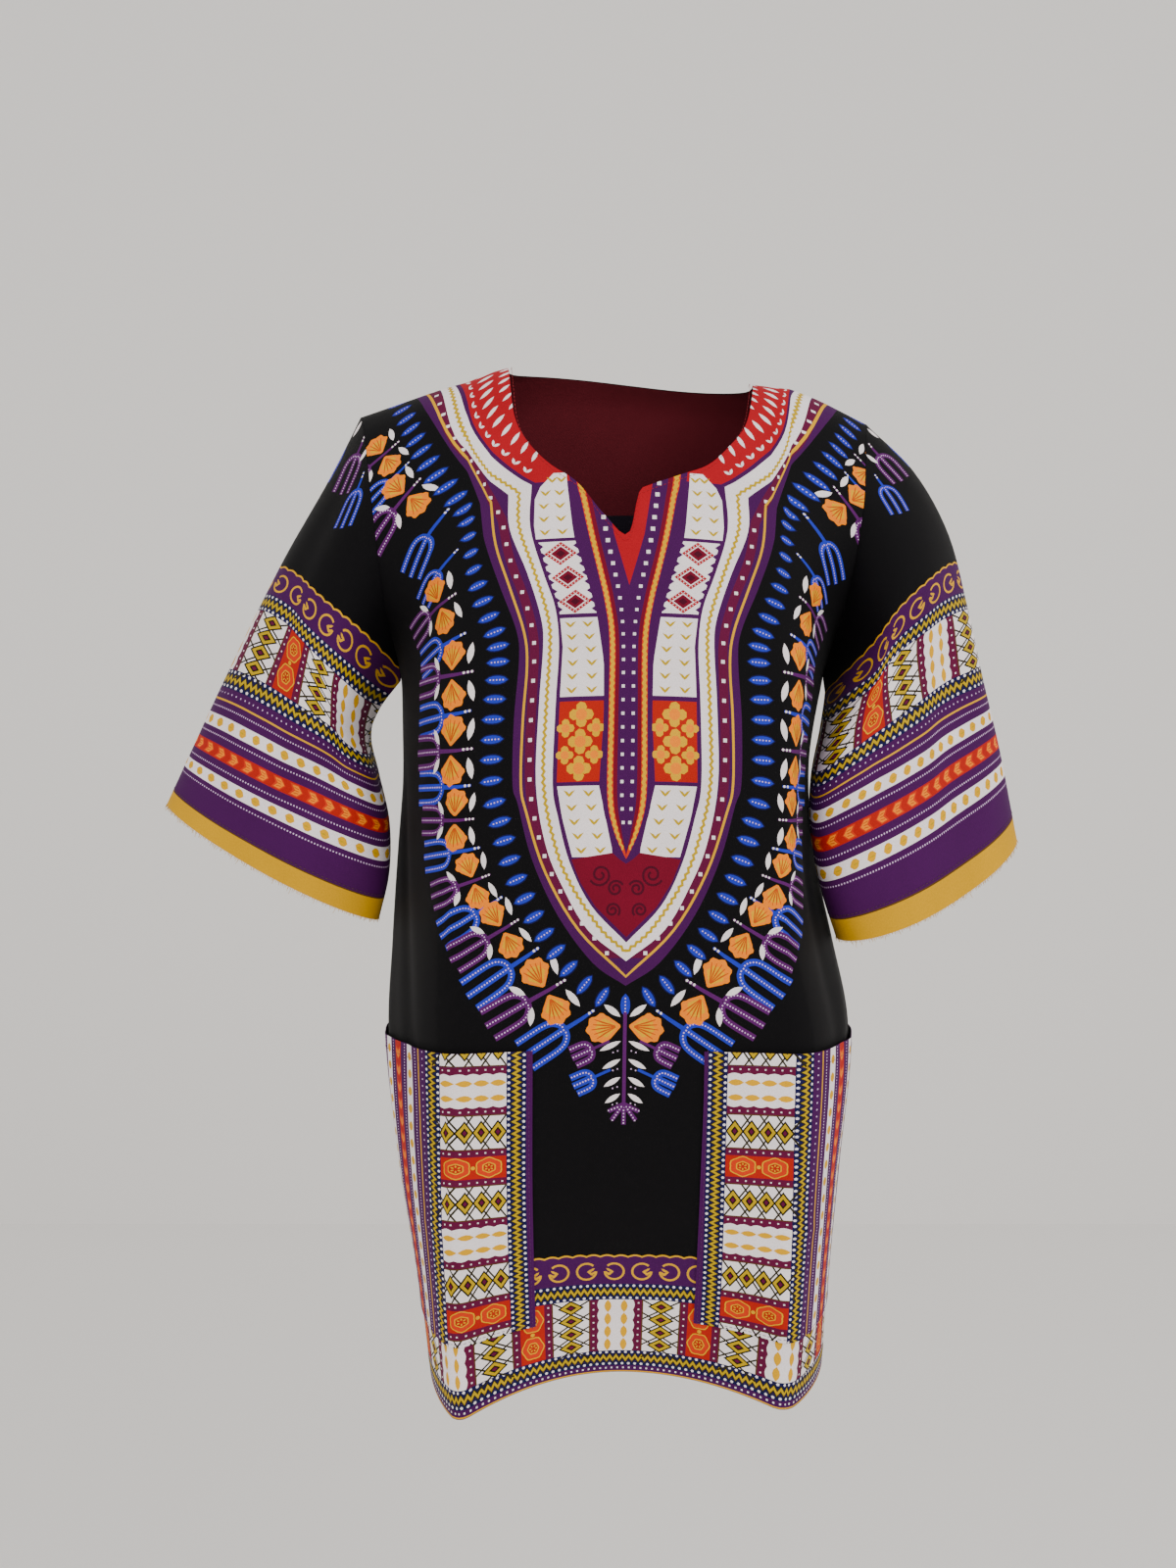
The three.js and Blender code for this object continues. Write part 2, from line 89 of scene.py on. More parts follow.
BACK = [
    (0, (3, 0, 4), (-121, 0, -8), (-195, 0, -32), (133, 0, -15), (180, 0, -37)),
    (22, (3, 21, 1), (-120, 20, -12), (-191, 20, -38), (131, 20, -19), (177, 20, -43)),
    (50, (3, 45, -16), (-119, 42, -30), (-186, 40, -60), (128, 41, -37), (174, 39, -64)),
    (110, (2, 78, -71), (-117, 71, -86), (-178, 62, -111), (122, 70, -92), (167, 61, -113)),
    (175, (2, 101, -137), (-115, 97, -150), (-171, 60, -172), (117, 96, -154), (158, 58, -172)),
    (245, (1, 113, -206), (-114, 111, -218), (-166, 8, -228), (112, 111, -220), (150, 8, -226)),
    (310, (0, 117, -271), (-114, 117, -282), (-163, 8, -291), (108, 117, -284), (139, 8, -290)),
    (375, (-1, 117, -336), (-114, 119, -347), (-166, 8, -355), (106, 119, -349), (143, 8, -354)),
    (440, (-1, 115, -401), (-114, 120, -412), (-170, 8, -419), (105, 120, -414), (156, 8, -418)),
    (505, (-2, 113, -466), (-114, 120, -477), (-174, 8, -483), (105, 120, -479), (166, 8, -483)),
    (600, (-3, 107, -561), (-113, 118, -572), (-165, 8, -578), (105, 118, -574), (158, 8, -578)),
    (680, (-3, 100, -640), (-112, 115, -652), (-152, 8, -657), (103, 115, -653), (151, 8, -655)),
    (750, (-4, 93, -711), (-110, 112, -723), (-143, 8, -726), (103, 112, -721), (147, 8, -721)),
]
# Levels of the sleeves: along, then x, y, z of the outer and inner end, half depths in front and behind, sag in front
SLEEVE_LEFT = [
    (0, (-195, 0, -32), (-166, 8, -228), 62, 62, 0),
    (0.17, (-221, 2, -83), (-182, 4, -250), 64, 62, 0),
    (0.33, (-247, 3, -130), (-188, -4, -272), 60, 60, 0),
    (0.5, (-272, 3, -178), (-180, -14, -299), 54, 56, 0),
    (0.67, (-298, 2, -231), (-171, -22, -332), 47, 50, 1),
    (0.84, (-321, 0, -281), (-170, -28, -369), 41, 44, 3),
    (1, (-338, -2, -319), (-178, -24, -403), 37, 40, 6),
]
SLEEVE_RIGHT = [
    (0, (180, 0, -37), (150, 8, -226), 60, 62, 0),
    (0.17, (215, 2, -72), (150, -4, -246), 66, 64, 0),
    (0.33, (240, 3, -117), (142, -34, -268), 62, 70, 0),
    (0.5, (255, 3, -170), (132, -55, -300), 52, 72, 0),
    (0.67, (267, 2, -224), (130, -60, -334), 44, 70, 2),
    (0.84, (280, 0, -281), (137, -58, -376), 40, 64, 6),
    (1, (291, -4, -345), (150, -50, -414), 40, 58, 13),
]
# The front's neckline: across (share of the way to the fold), down
FRONT_NECKLINE = [
    (-NECK_EDGE, 0), (-0.7, 34), (-0.665, 70), (-0.575, 92), (-0.45, 109), (-0.3, 123), (-0.165, 145),
    (-0.015, 164), (0.045, 139), (0.065, 129), (0.32, 116), (0.45, 108), (0.56, 93), (0.66, 72), (0.7, 38),
    (NECK_EDGE, 0),
]
NOTCH = (6, 9)  # the neckline is straight between these points
# Folds of the sleeves: round (degrees from the outer end), along, slant, width, reach, depth
FOLDS_LEFT = [(52, 0.3, 18, 17, 0.3, 4), (118, 0.62, -30, 15, 0.26, 5),
              (236, 0.45, 22, 18, 0.34, 5), (304, 0.6, -15, 17, 0.3, 4)]
FOLDS_RIGHT = [(104, 0.38, -34, 24, 0.26, 9), (62, 0.7, 14, 18, 0.3, 5),
               (230, 0.5, -24, 18, 0.34, 6), (300, 0.35, 20, 17, 0.3, 4)]

# Soft creases of the panels: from (across, down) to (across, down) in mm of cloth, width, depth outwards
CREASES_FRONT = [
    (-150, 622, -30, 626, 5, 0.9), (30, 620, 150, 627, 5, 0.9),
    (-205, 300, -150, 560, 11, -2.2), (-232, 330, -185, 640, 12, 1.8), (-140, 250, -118, 400, 12, -1.5),
    (140, 300, 168, 520, 11, -1.8), (200, 340, 178, 600, 12, 1.6),
    (-150, 60, -95, 210, 16, -1.6), (150, 70, 100, 200, 15, -1.6), (-60, 470, -20, 640, 22, -1.3),
    (70, 430, 30, 600, 24, 1.2), (0, 500, 6, 700, 20, 1.2),
]
CREASES_BACK = [
    (-140, 120, -70, 330, 18, -2.2), (130, 110, 75, 300, 17, -2.0), (-20, 180, 15, 470, 22, 1.8),
    (60, 260, 40, 610, 20, -1.8), (-75, 380, -50, 700, 18, 1.6), (95, 420, 80, 690, 14, 1.4),
    (-160, 300, -150, 600, 12, -1.8), (160, 320, 165, 560, 12, -1.6), (-130, 622, -10, 628, 5, 0.9),
    (10, 627, 140, 621, 5, 0.9), (-205, 420, -190, 680, 11, 1.6), (205, 400, 195, 690, 11, 1.6),
]
CREASES_SLEEVE = [
    (40, 60, 75, 190, 12, -1.8), (110, 30, 95, 150, 14, 1.4), (-60, 40, -90, 200, 13, -1.6),
    (-130, 30, -110, 140, 12, 1.5), (150, 60, 165, 150, 9, -1.3),
]


# ---- Surfaces ----
def mix(a, b, t):
    return a + (b - a) * t


def ease(start, end, x):
    t = np.clip((x - start) / (end - start), 0, 1)
    return t * t * (3 - 2 * t)


def through(keys, values, at):
    """A smooth curve through a table's column: cubic pieces with slopes from the neighbouring rows."""
    last = len(keys) - 1
    i = np.clip(np.searchsorted(keys, at, side="left") - 1, 0, last - 1)
    rows = np.arange(last + 1)
    low, high = np.maximum(rows - 1, 0), np.minimum(rows + 1, last)
    slope = (values[high] - values[low]) / (keys[high] - keys[low])[:, None]
    span = (keys[i + 1] - keys[i])[:, None]
    t = (at - keys[i])[:, None] / span
    return (
        values[i] * (1 + 2 * t) * (1 - t) ** 2 + slope[i] * span * t * (1 - t) ** 2
        + values[i + 1] * t * t * (3 - 2 * t) + slope[i + 1] * span * t * t * (t - 1)
    )


def unit(v):
    return v / np.maximum(np.linalg.norm(v, axis=-1, keepdims=True), 1e-9)


def left_of(v):
    """Flat directions turned by a quarter."""
    return np.stack([-v[..., 1], v[..., 0]], -1)


def lengths_along(line):
    return np.concatenate([[0], np.cumsum(np.linalg.norm(np.diff(line, axis=0), axis=1))])


def points_at(line, run, at):
    return np.stack([np.interp(at, run, line[:, 0]), np.interp(at, run, line[:, 1])], 1)


def crease_height(creases, flat):
    """How far creases lift the cloth at flat points."""
    height = np.zeros(len(flat))
    for x0, y0, x1, y1, width, depth in creases:
        a, b = np.array([x0, y0]), np.array([x1, y1])
        run = b - a
        t = ((flat - a) @ run) / (run @ run)
        near = np.clip(t, 0, 1)
        away = np.linalg.norm(flat - (a + near[:, None] * run), axis=1)
        height += depth * np.exp(-((away / width) ** 2)) * np.sin(np.pi * near) ** 0.7
    return height


class Panel:
    """The front or the back. Flat points are (across, down) in mm of cloth, across from the centre line."""

    def __init__(self, rows, facing, creases):
        self.keys = np.array([r[0] for r in rows], float)
        self.columns = [np.array([r[c] for r in rows], float) for c in range(1, 6)]
        self.facing = facing
        self.creases = creases
        self.downs = np.arange(0, HEM + 1, LEVEL_STEP)
        self.shares = np.linspace(0, 1, SAMPLES)
        self.face_length, self.side_length, self.side_run = [], [], []
        for hand in (-1, 1):
            faces, sides, runs = [], [], []
            for down in self.downs:
                lines = []
                for start, end in ((0, 1), (1, 2)):
                    across = hand * (start + (end - start) * self.shares)
                    lines.append(lengths_along(self.place(across, np.full(SAMPLES, down), sharp=True)))
                faces.append(lines[0][-1])
                sides.append(lines[1][-1])
                runs.append(lines[1] / max(lines[1][-1], 1e-9))
            self.face_length.append(np.array(faces))
            self.side_length.append(np.array(sides))
            self.side_run.append(np.array(runs))

    def place(self, across, down, sharp=False):
        """Points at shares across: -2 (left edge), -1 (left fold), 0 (centre), 1 and 2. sharp leaves the folds'
        round out, so that lengths are measured up to the fold itself."""
        left = (across < 0)[:, None]
        mid, fold_l, edge_l, fold_r, edge_r = (through(self.keys, c, down) for c in self.columns)
        fold, edge = np.where(left, fold_l, fold_r), np.where(left, edge_l, edge_r)
        edge[down >= ARMPIT, 1] = SIDE
        a, d = np.abs(across)[:, None], down[:, None]
        beside = np.where(left, 1, mix(BESIDE_SLEEVE, 1, ease(*CLEAR_OF_SLEEVE, d)))
        fullness = ease(*SIDES_FILL, d) * beside

        def face(f):
            return np.concatenate([mix(mid[:, :1], fold[:, :1], f), mix(mid[:, 1:], fold[:, 1:], f * f)], 1)

        def side(g):
            out = mix(g, np.sin(np.clip(g, 0, 1) * np.pi / 2) ** SIDE_POWER, fullness)
            return np.concatenate([mix(fold[:, :1], edge[:, :1], out), mix(fold[:, 1:], edge[:, 1:], g)], 1)

        radius = mix(*FOLD_RADIUS, ease(*FOLD_SHARPENS, d)) * (0.01 if sharp else 1)
        before = np.minimum(MOST_OF_SIDE, radius / np.linalg.norm(fold - mid, axis=1)[:, None])
        after = np.minimum(MOST_OF_SIDE, radius / np.maximum(np.linalg.norm(edge - fold, axis=1)[:, None], 1))
        t = (a - 1 + before) / (before + after)
        corner = face(1 - before) * (1 - t) ** 2 + fold * 2 * t * (1 - t) + side(after) * t * t
        p = np.where(a <= 1 - before, face(a), np.where(a >= 1 + after, side(a - 1), corner))
        tilt = NECK_TILT * np.sin(np.pi * np.minimum(a, 1)) * (1 - ease(0, NECK_TILT_FADES, d))
        p[:, 2] -= (np.sign(across)[:, None] * tilt)[:, 0]
        return p

    def lengths(self, hand, down):
        """Mm of cloth from the centre to the fold, and from the fold to the edge."""
        return (np.interp(down, self.downs, self.face_length[hand]),
                np.interp(down, self.downs, self.side_length[hand]))

    def flat_to_share(self, flat):
        """Shares across and distances down of flat points."""
        across, down = np.abs(flat[:, 0]), np.clip(flat[:, 1], 0, HEM)
        out = np.zeros(len(flat))
        for hand, here in ((0, flat[:, 0] < 0), (1, flat[:, 0] >= 0)):
            face, side = self.lengths(hand, down)
            q = (across - face) / side
            level = np.clip(down / LEVEL_STEP, 0, len(self.downs) - 1.001)
            k, f = level.astype(int), level % 1
            g = np.zeros(len(flat))
            for row in range(len(self.downs) - 1):
                sel = here & (k == row) & (q > 0)
                if sel.any():
                    low = np.interp(q[sel], self.side_run[hand][row], self.shares)
                    high = np.interp(q[sel], self.side_run[hand][row + 1], self.shares)
                    g[sel] = mix(low, high, f[sel])
            share = np.where(q <= 0, across / face, 1 + g)
            out[here] = share[here]
        return np.clip(out, 0, 2) * np.where(flat[:, 0] < 0, -1, 1), down

    def share_to_flat(self, across, down):
        """Flat points of shares across at distances down."""
        across, down = np.asarray(across, float), np.asarray(down, float)
        result = []
        for a, d in zip(across, down):
            hand = 0 if a < 0 else 1
            face, side = self.lengths(hand, d)
            row = min(int(d / LEVEL_STEP), len(self.downs) - 2)
            f = d / LEVEL_STEP - row
            if abs(a) > 1:
                low, high = (np.interp(abs(a) - 1, self.shares, self.side_run[hand][k]) for k in (row, row + 1))
                reach = face + mix(low, high, f) * side
            else:
                reach = abs(a) * face
            result.append((-reach if a < 0 else reach, d))
        return np.array(result)

    def surface(self, flat, outwards=0.0):
        """Points and normals of the cloth at flat points."""
        across, down = self.flat_to_share(flat)
        step, drop = 0.006, 0.6
        inside = np.clip(down, drop, HEM - drop)
        p = self.place(across, down)
        along_a = self.place(across + step, inside) - self.place(across - step, inside)
        along_b = self.place(across, inside + drop) - self.place(across, inside - drop)
        n = unit(np.cross(along_a, along_b)) * self.facing
        fade = ease(0, 0.25, 2 - np.abs(across)) * ease(0, 40, down)
        here = np.stack([flat[:, 0], down], 1)
        h = 1.0

        def lift(q):
            return crease_height(self.creases, q) * fade

        across_slope = (lift(here + [h, 0]) - lift(here - [h, 0])) / (2 * h)
        down_slope = (lift(here + [0, h]) - lift(here - [0, h])) / (2 * h)
        p = p + n * lift(here)[:, None]
        n = unit(n - unit(along_a) * across_slope[:, None] - unit(along_b) * down_slope[:, None])
        if self.facing > 0:
            p[:, 1] += SEAM
        return p + n * np.reshape(outwards, (-1, 1)), n


class Sleeve:
    """A sleeve. Flat points are (round, up): mm round it from its outer end, front first, and up from its hem."""

    def __init__(self, rows, side, folds, front):
        self.keys = np.array([r[0] for r in rows], float)
        self.columns = [np.array([np.atleast_1d(r[c]) for r in rows], float) for c in range(1, 6)]
        self.side, self.folds, self.front = side, folds, front
        self.turns = np.linspace(-180, 180, TURNS)
        ring = lengths_along(self.bare(self.turns, np.full(TURNS, RING_LEVEL)))
        self.ring = ring - ring[TURNS // 2]
        lines = np.stack([self.bare(self.turns, np.full(TURNS, a)) for a in np.linspace(0, 1, 25)])
        self.long = np.linalg.norm(np.diff(lines, axis=0), axis=2).sum(0)

    def armhole(self, turn):
        turn = turn % 360
        in_front = turn <= 180
        down = ARMPIT * np.where(in_front, turn / 180, 2 - turn / 180)
        edge = np.full(len(turn), 2.0 * self.side)
        p = np.where(in_front[:, None], self.front[0].place(edge, down), self.front[1].place(edge, down))
        p[:, 0] += self.side * SEAM
        p[:, 1] += np.where(in_front, 0, SEAM)
        return p

    def oval(self, turn, along):
        outer, inner, front, back, sag = (through(self.keys, c, along) for c in self.columns)
        angle = np.radians(turn)[:, None]
        p = mix(outer, inner, (1 - np.cos(angle)) / 2)
        s = np.sin(angle)[:, 0]
        p[:, 1] -= s * np.where(s >= 0, front[:, 0], back[:, 0])
        p[:, 2] -= np.maximum(0, s) ** 1.5 * sag[:, 0]
        return p

    def bare(self, turn, along):
        """The sleeve without its folds, from the armhole (along 0) to its hem (1)."""
        start = self.armhole(turn) - self.oval(turn, np.zeros(len(turn)))
        return self.oval(turn, along) + start * (1 - ease(0, 0.4, along))[:, None]

    def lift(self, turn, along, flat):
        """How far creases and folds lift the cloth."""
        depth = np.zeros(len(turn))
        for fold_round, fold_along, slant, width, reach, deep in self.folds:
            off = along - fold_along
            away = (turn - fold_round - slant * off / reach + 540) % 360 - 180
            depth += deep * np.exp(-((away / width) ** 2) - (off / reach) ** 2)
        fade = ease(0, 0.15, along) * ease(0, 25, 180 - np.abs(turn))
        return (crease_height(CREASES_SLEEVE, flat) - depth) * fade

    def turn_of(self, flat):
        turn = np.interp(flat[:, 0], self.ring, self.turns)
        along = np.clip(1 - flat[:, 1] / np.interp(turn, self.turns, self.long), 0, 1)
        return turn, along

    def surface(self, flat, outwards=0.0):
        turn, along = self.turn_of(flat)
        inside = np.clip(along, 0.006, 0.994)
        p = self.bare(turn, along)
        along_a = self.bare(turn + 1, inside) - self.bare(turn - 1, inside)
        along_b = self.bare(turn, inside + 0.005) - self.bare(turn, inside - 0.005)
        n = unit(np.cross(along_a, along_b)) * self.side
        size_a = np.linalg.norm(along_a, axis=1)
        size_b = np.linalg.norm(along_b, axis=1)
        down = np.array([0, 1.0])
        slope_a = (self.lift(turn + 1, along, flat + [size_a.mean() / 2, 0])
                   - self.lift(turn - 1, along, flat - [size_a.mean() / 2, 0])) / size_a
        slope_b = (self.lift(turn, along + 0.005, flat - down * size_b.mean() / 2)
                   - self.lift(turn, along - 0.005, flat + down * size_b.mean() / 2)) / size_b
        p = p + n * self.lift(turn, along, flat)[:, None]
        n = unit(n - unit(along_a) * slope_a[:, None] - unit(along_b) * slope_b[:, None])
        return p + n * np.reshape(outwards, (-1, 1)), n


front = Panel(FRONT, -1, CREASES_FRONT)
back = Panel(BACK, 1, CREASES_BACK)
sleeves = {
    "left": Sleeve(SLEEVE_LEFT, -1, FOLDS_LEFT, (front, back)),
    "right": Sleeve(SLEEVE_RIGHT, 1, FOLDS_RIGHT, (front, back)),
}

# ---- Inks, as sRGB ----
INKS = {
    "black": (3, 2, 4), "purple": (66, 8, 74), "maroon": (92, 10, 52), "red": (166, 10, 26),
    "burgundy": (110, 6, 34), "scroll": (70, 4, 28), "brick": (174, 26, 10), "vermilion": (204, 50, 10),
    "white": (240, 230, 230), "gold": (218, 160, 0), "olive": (188, 154, 0), "dark_olive": (40, 34, 14),
    "orange": (242, 128, 0), "vein": (190, 74, 6), "blue": (36, 48, 176), "navy": (14, 14, 66),
    "mauve": (84, 22, 92), "lilac": (216, 184, 220), "selvedge": (206, 152, 0), "brown": (84, 54, 16),
    "inside": (36, 30, 40), "inside_border": (104, 72, 104), "inside_red": (104, 30, 40),
    "inside_white": (120, 104, 112),
}


def linear(rgb):
    c = np.array(rgb) / 255
    return np.where(c <= 0.04045, c / 12.92, ((c + 0.055) / 1.055) ** 2.4)


class Print:
    """Shapes printed on one piece of cloth, in order. place turns a motif's own points into flat points."""

    def __init__(self, shapes=None, place=None):
        self.shapes = [] if shapes is None else shapes
        self.place = place or (lambda p: p)

    def placed(self, place):
        return Print(self.shapes, lambda p: self.place(place(p)))

    def at(self, origin, ahead):
        """A frame whose first axis points along ahead."""
        o, a = np.array(origin, float), unit(np.array(ahead, float))
        side = left_of(a)
        return self.placed(lambda p: o + p[:, :1] * a + p[:, 1:] * side)

    def fill(self, points, ink):
        self.shapes.append((self.place(np.array(points, float)), ink))

    def box(self, x0, y0, x1, y1, ink):
        self.fill([(x0, y0), (x1, y0), (x1, y1), (x0, y1)], ink)

    def lozenge(self, x, y, wide, tall, ink):
        """A lozenge from its half width and half height."""
        self.fill([(x - wide, y), (x, y + tall), (x + wide, y), (x, y - tall)], ink)

    def strip(self, line, width, ink):
        line = np.array(line, float)
        out = left_of(unit(np.gradient(line, axis=0))) * np.reshape(width, (-1, 1)) / 2
        self.fill(np.concatenate([line + out, (line - out)[::-1]]), ink)

    def disc(self, x, y, r, ink, sides=8, tall=1.0):
        turn = np.arange(sides) * 2 * math.pi / sides + math.pi / sides
        self.fill(np.stack([x + r * np.cos(turn), y + r * tall * np.sin(turn)], 1), ink)

    def leaf(self, start, end, width, ink, sides=4, blunt=0.8):
        a, b = np.array(start, float), np.array(end, float)
        t = np.linspace(0, 1, sides + 2)
        half = width / 2 * np.sin(np.pi * t) ** blunt
        out = half[:, None] * left_of(unit(b - a))
        middle = a + t[:, None] * (b - a)
        self.fill(np.concatenate([middle + out, (middle - out)[::-1][1:-1]]), ink)

    def dots(self, line, pitch, size, ink, sides=4):
        for x, y in spaced(line, pitch):
            self.disc(x, y, size / 2, ink, sides)


def spaced(line, pitch, start=0.5):
    """Points at equal steps along a line."""
    line = np.array(line, float)
    run = lengths_along(line)
    count = max(1, int(run[-1] / pitch))
    return points_at(line, run, (np.arange(count) + start) * run[-1] / count)


def smooth(points, pieces=6, corners=()):
    """A curve through points, with sharp corners at the listed ones."""
    points = np.array(points, float)
    stops = [0, *[c % len(points) for c in corners], len(points) - 1]
    out = []
    for a, b in zip(stops, stops[1:]):
        part = points[a : b + 1]
        keys = np.arange(len(part), dtype=float)
        finely = np.linspace(0, len(part) - 1, (len(part) - 1) * pieces + 1)
        out.append(through(keys, part, finely) if len(part) > 2 else part)
    return np.concatenate([p if i == 0 else p[1:] for i, p in enumerate(out)])


def wavy(line, depth):
    """A line whose points step to the left and the right in turn."""
    steps = np.where(np.arange(len(line)) % 2 == 0, depth, -depth)[:, None]
    return line + left_of(unit(np.gradient(line, axis=0))) * steps


def mirrored(line):
    """A line from the left top to the tip, then back up on the right."""
    line = np.array(line, float)
    right = line[::-1] * [-1, 1]
    return np.concatenate([line, right[1:] if abs(line[-1, 0]) < 0.01 else right])


# ---- The border print: (along, up), up is from the cloth's free edge ----
UNIT = 13.0  # a zigzag between two rows of dots
PANELS = 44.0  # the row of panels
CURLS = 25.0
PANEL_ORDER = [("white", 26.0), ("lozenge", 26.0), ("medallion", 17.0), ("lozenge", 26.0)]
BETWEEN = 5.6  # dotted strip between panels
PERIOD = sum(width for _, width in PANEL_ORDER) + BETWEEN * len(PANEL_ORDER)
BAND_PITCH = 13.6  # between the leaves or arrows of a band
UPPER_FROM = 105  # the sleeve's zigzags and panels start here, up from the selvedge
DOTTED_LINES = (91.5, 73.0, 53.0, 35.5)
UPPER_LEAVES, ARROWS, LOWER_LEAVES = (77, 86), (58, 67.5), (39.5, 48.5)  # bands, from and to
HEM_EDGE = 6  # dotted edge under the hem's border


def zigzag_unit(pr, low, start, end):
    pr.box(start, low, end, low + UNIT, "navy")
    middle, pitch = low + UNIT / 2, 4.6
    count = int((end - start) / pitch)
    xs = start + np.arange(2 * count + 1) * pitch / 2
    ys = middle + np.where(np.arange(len(xs)) % 2 == 0, -1.9, 1.9)
    for ink, width in (("dark_olive", 5.4), ("olive", 2.9)):
        pr.fill(np.concatenate([np.stack([xs, ys + width / 2], 1), np.stack([xs, ys - width / 2], 1)[::-1]]), ink)
    for k in range(count):
        pr.disc(start + (k + 0.5) * pitch, low + 1.5, 1.15, "white", 5)
        pr.disc(start + k * pitch, low + UNIT - 1.5, 1.15, "white", 5)


def white_panel(pr, x, low, width, high):
    """A scalloped white panel with two columns of gold leaves."""
    bumps = 5
    ys = np.linspace(low, low + high, bumps * 4 + 1)
    bulge = 1.3 * np.abs(np.sin(np.pi * bumps * (ys - low) / high))
    left = np.stack([x - width / 2 + 1.2 - bulge, ys], 1)
    right = np.stack([x + width / 2 - 1.2 + bulge, ys], 1)
    pr.fill(np.concatenate([left, right[::-1]]), "white")
    for side in (-1, 1):
        for k in range(4):
            y = low + high * (k + 0.5) / 4
            pr.leaf((x + side * width * 0.22, y - 5.4), (x + side * width * 0.22, y + 5.4), 5.0, "gold", 3)


def lozenge_panel(pr, x, low, width, high):
    """Black-outlined olive lozenges with dark centres on white triangles."""
    pr.box(x - width / 2, low, x + width / 2, low + high, "white")
    tall = high / 4
    for k in range(4):
        y = low + tall * k
        for side in (1, -1):
            pr.strip([(x - side * width / 2, y - tall / 2), (x + side * width / 2, y + tall)], 1.2, "dark_olive")
    for k in range(4):
        y = low + tall * (k + 0.5)
        for scale, ink in ((1.0, "black"), (0.8, "olive"), (0.42, "black"), (0.24, "maroon")):
            pr.lozenge(x, y, width * 0.36 * scale, tall * 0.56 * scale, ink)
    for edge in (x - width / 2, x + width / 2):
        pr.strip([(edge, low), (edge, low + high)], 0.9, "brown")


def medallion_panel(pr, x, low, width, high):
    """Two gold-ringed flowers on orange red."""
    pr.box(x - width / 2, low, x + width / 2, low + high, "brick")
    turn = np.arange(24) * 2 * math.pi / 24
    for k in (0, 1):
        y = low + high * (0.26 + 0.48 * k)
        for scale, ink in ((1.0, "gold"), (0.9, "vermilion"), (0.52, "gold"), (0.42, "brick")):
            r = width * 0.46 * scale * (1 + 0.06 * np.cos(6 * turn))
            pr.fill(np.stack([x + r * np.cos(turn), y + r * 1.15 * np.sin(turn)], 1), ink)
        for a in np.arange(6) * math.pi / 3:
            pr.leaf((x + math.cos(a), y + math.sin(a)), (x + 3 * math.cos(a), y + 3.2 * math.sin(a)), 1.1, "gold", 2)
    pr.disc(x, low + high / 2, 1.6, "gold", 6)


def panel_row(pr, low, start, end, shift):
    pr.box(start, low, end, low + PANELS, "maroon")
    x = shift - math.ceil((shift - start) / PERIOD + 1) * PERIOD
    drawers = {"white": white_panel, "lozenge": lozenge_panel, "medallion": medallion_panel}
    while x < end:
        for kind, width in PANEL_ORDER:
            if start - width < x < end:
                drawers[kind](pr, x + width / 2, low, width, PANELS)
                seam = x + width + BETWEEN / 2
                for k in range(8):
                    pr.disc(seam, low + PANELS * (k + 0.5) / 8, 0.8, "white", 4)
            x += width + BETWEEN


def curl_row(pr, low, start, end):
    """Gold rings on purple, under a scalloped gold line."""
    pitch = 19.0
    count = int((end - start) / pitch) + 1
    xs = np.arange(start, end + 0.1, 1.9)
    top = low + CURLS - 3 + 1.3 * np.abs(np.sin(np.pi * (xs - start) / (pitch / 2)))
    ground = np.stack([xs, top], 1)
    pr.fill(np.concatenate([ground, [(end, low), (start, low)]]), "purple")
    pr.fill(np.concatenate([ground + [0, 0.6], (ground - [0, 0.7])[::-1]]), "gold")
    turn = np.linspace(0.25 * math.pi, 2.0 * math.pi, 18)
    for k in range(count):
        x, y, flip = start + (k + 0.5) * pitch, low + 10.2, (-1 if k % 2 else 1)
        ring = np.stack([x + flip * 6.6 * np.cos(turn), y + 6.4 * np.sin(turn)], 1)
        pr.strip(ring, 1.5, "gold")
        pr.strip([(x + flip * 6.4, y - 0.6), (x + flip * 3.2, y - 2.2), (x + flip * 1.0, y + 0.4)], 1.8, "gold")
        for dx, dy in ((4.8, 2.6), (2.4, 1.4), (4.0, -3.4)):
            pr.leaf((x + flip * 1.6, y - 0.4), (x + flip * (dx + 0.8), y + dy), 1.8, "gold", 2)


def middles(start, end):
    """Where a band's motifs lie."""
    return [start + (k + 0.5) * BAND_PITCH for k in range(int((end - start) / BAND_PITCH) + 1)]


def leaf_band(pr, low, high, start, end):
    pr.box(start, low, end, high, "white")
    middle = (low + high) / 2
    for x in middles(start, end):
        pr.leaf((x - 3.9, middle + 0.8), (x + 3.9, middle - 0.8), 6.4, "gold", 3, 0.6)
        pr.leaf((x - 3.0, middle), (x + 1.6, middle - 0.3), 1.0, "olive", 2)


def arrow_band(pr, low, high, start, end):
    pr.box(start, low, end, high, "brick")
    middle, half = (low + high) / 2, (high - low) / 2
    # tail, shoulder, tip and notch along the band, and how far the tail and the shoulder reach across it
    arrows = (("vermilion", -5.2, 1.5, 5.6, -2.6, 0.8, 0.85), ("orange", -3.4, 1.2, 4.6, -0.6, 0.62, 0.68))
    for x in middles(start, end):
        for ink, tail, shoulder, tip, notch, tail_reach, reach in arrows:
            pr.fill([(x + tail, middle - half * tail_reach), (x + shoulder, middle - half * reach), (x + tip, middle),
                     (x + shoulder, middle + half * reach), (x + tail, middle + half * tail_reach),
                     (x + notch, middle)], ink)
        for dy in (-0.3, 0, 0.3):
            pr.strip([(x - 1.6, middle + dy * half * 1.3), (x + 2.0, middle + dy * half)], 0.5, "vein")


def upper_border(pr, low, start, end, shift):
    zigzag_unit(pr, low, start, end)
    panel_row(pr, low + UNIT, start, end, shift)
    zigzag_unit(pr, low + UNIT + PANELS, start, end)


def line_across(y, start, end):
    return [(start, y), (end, y)]


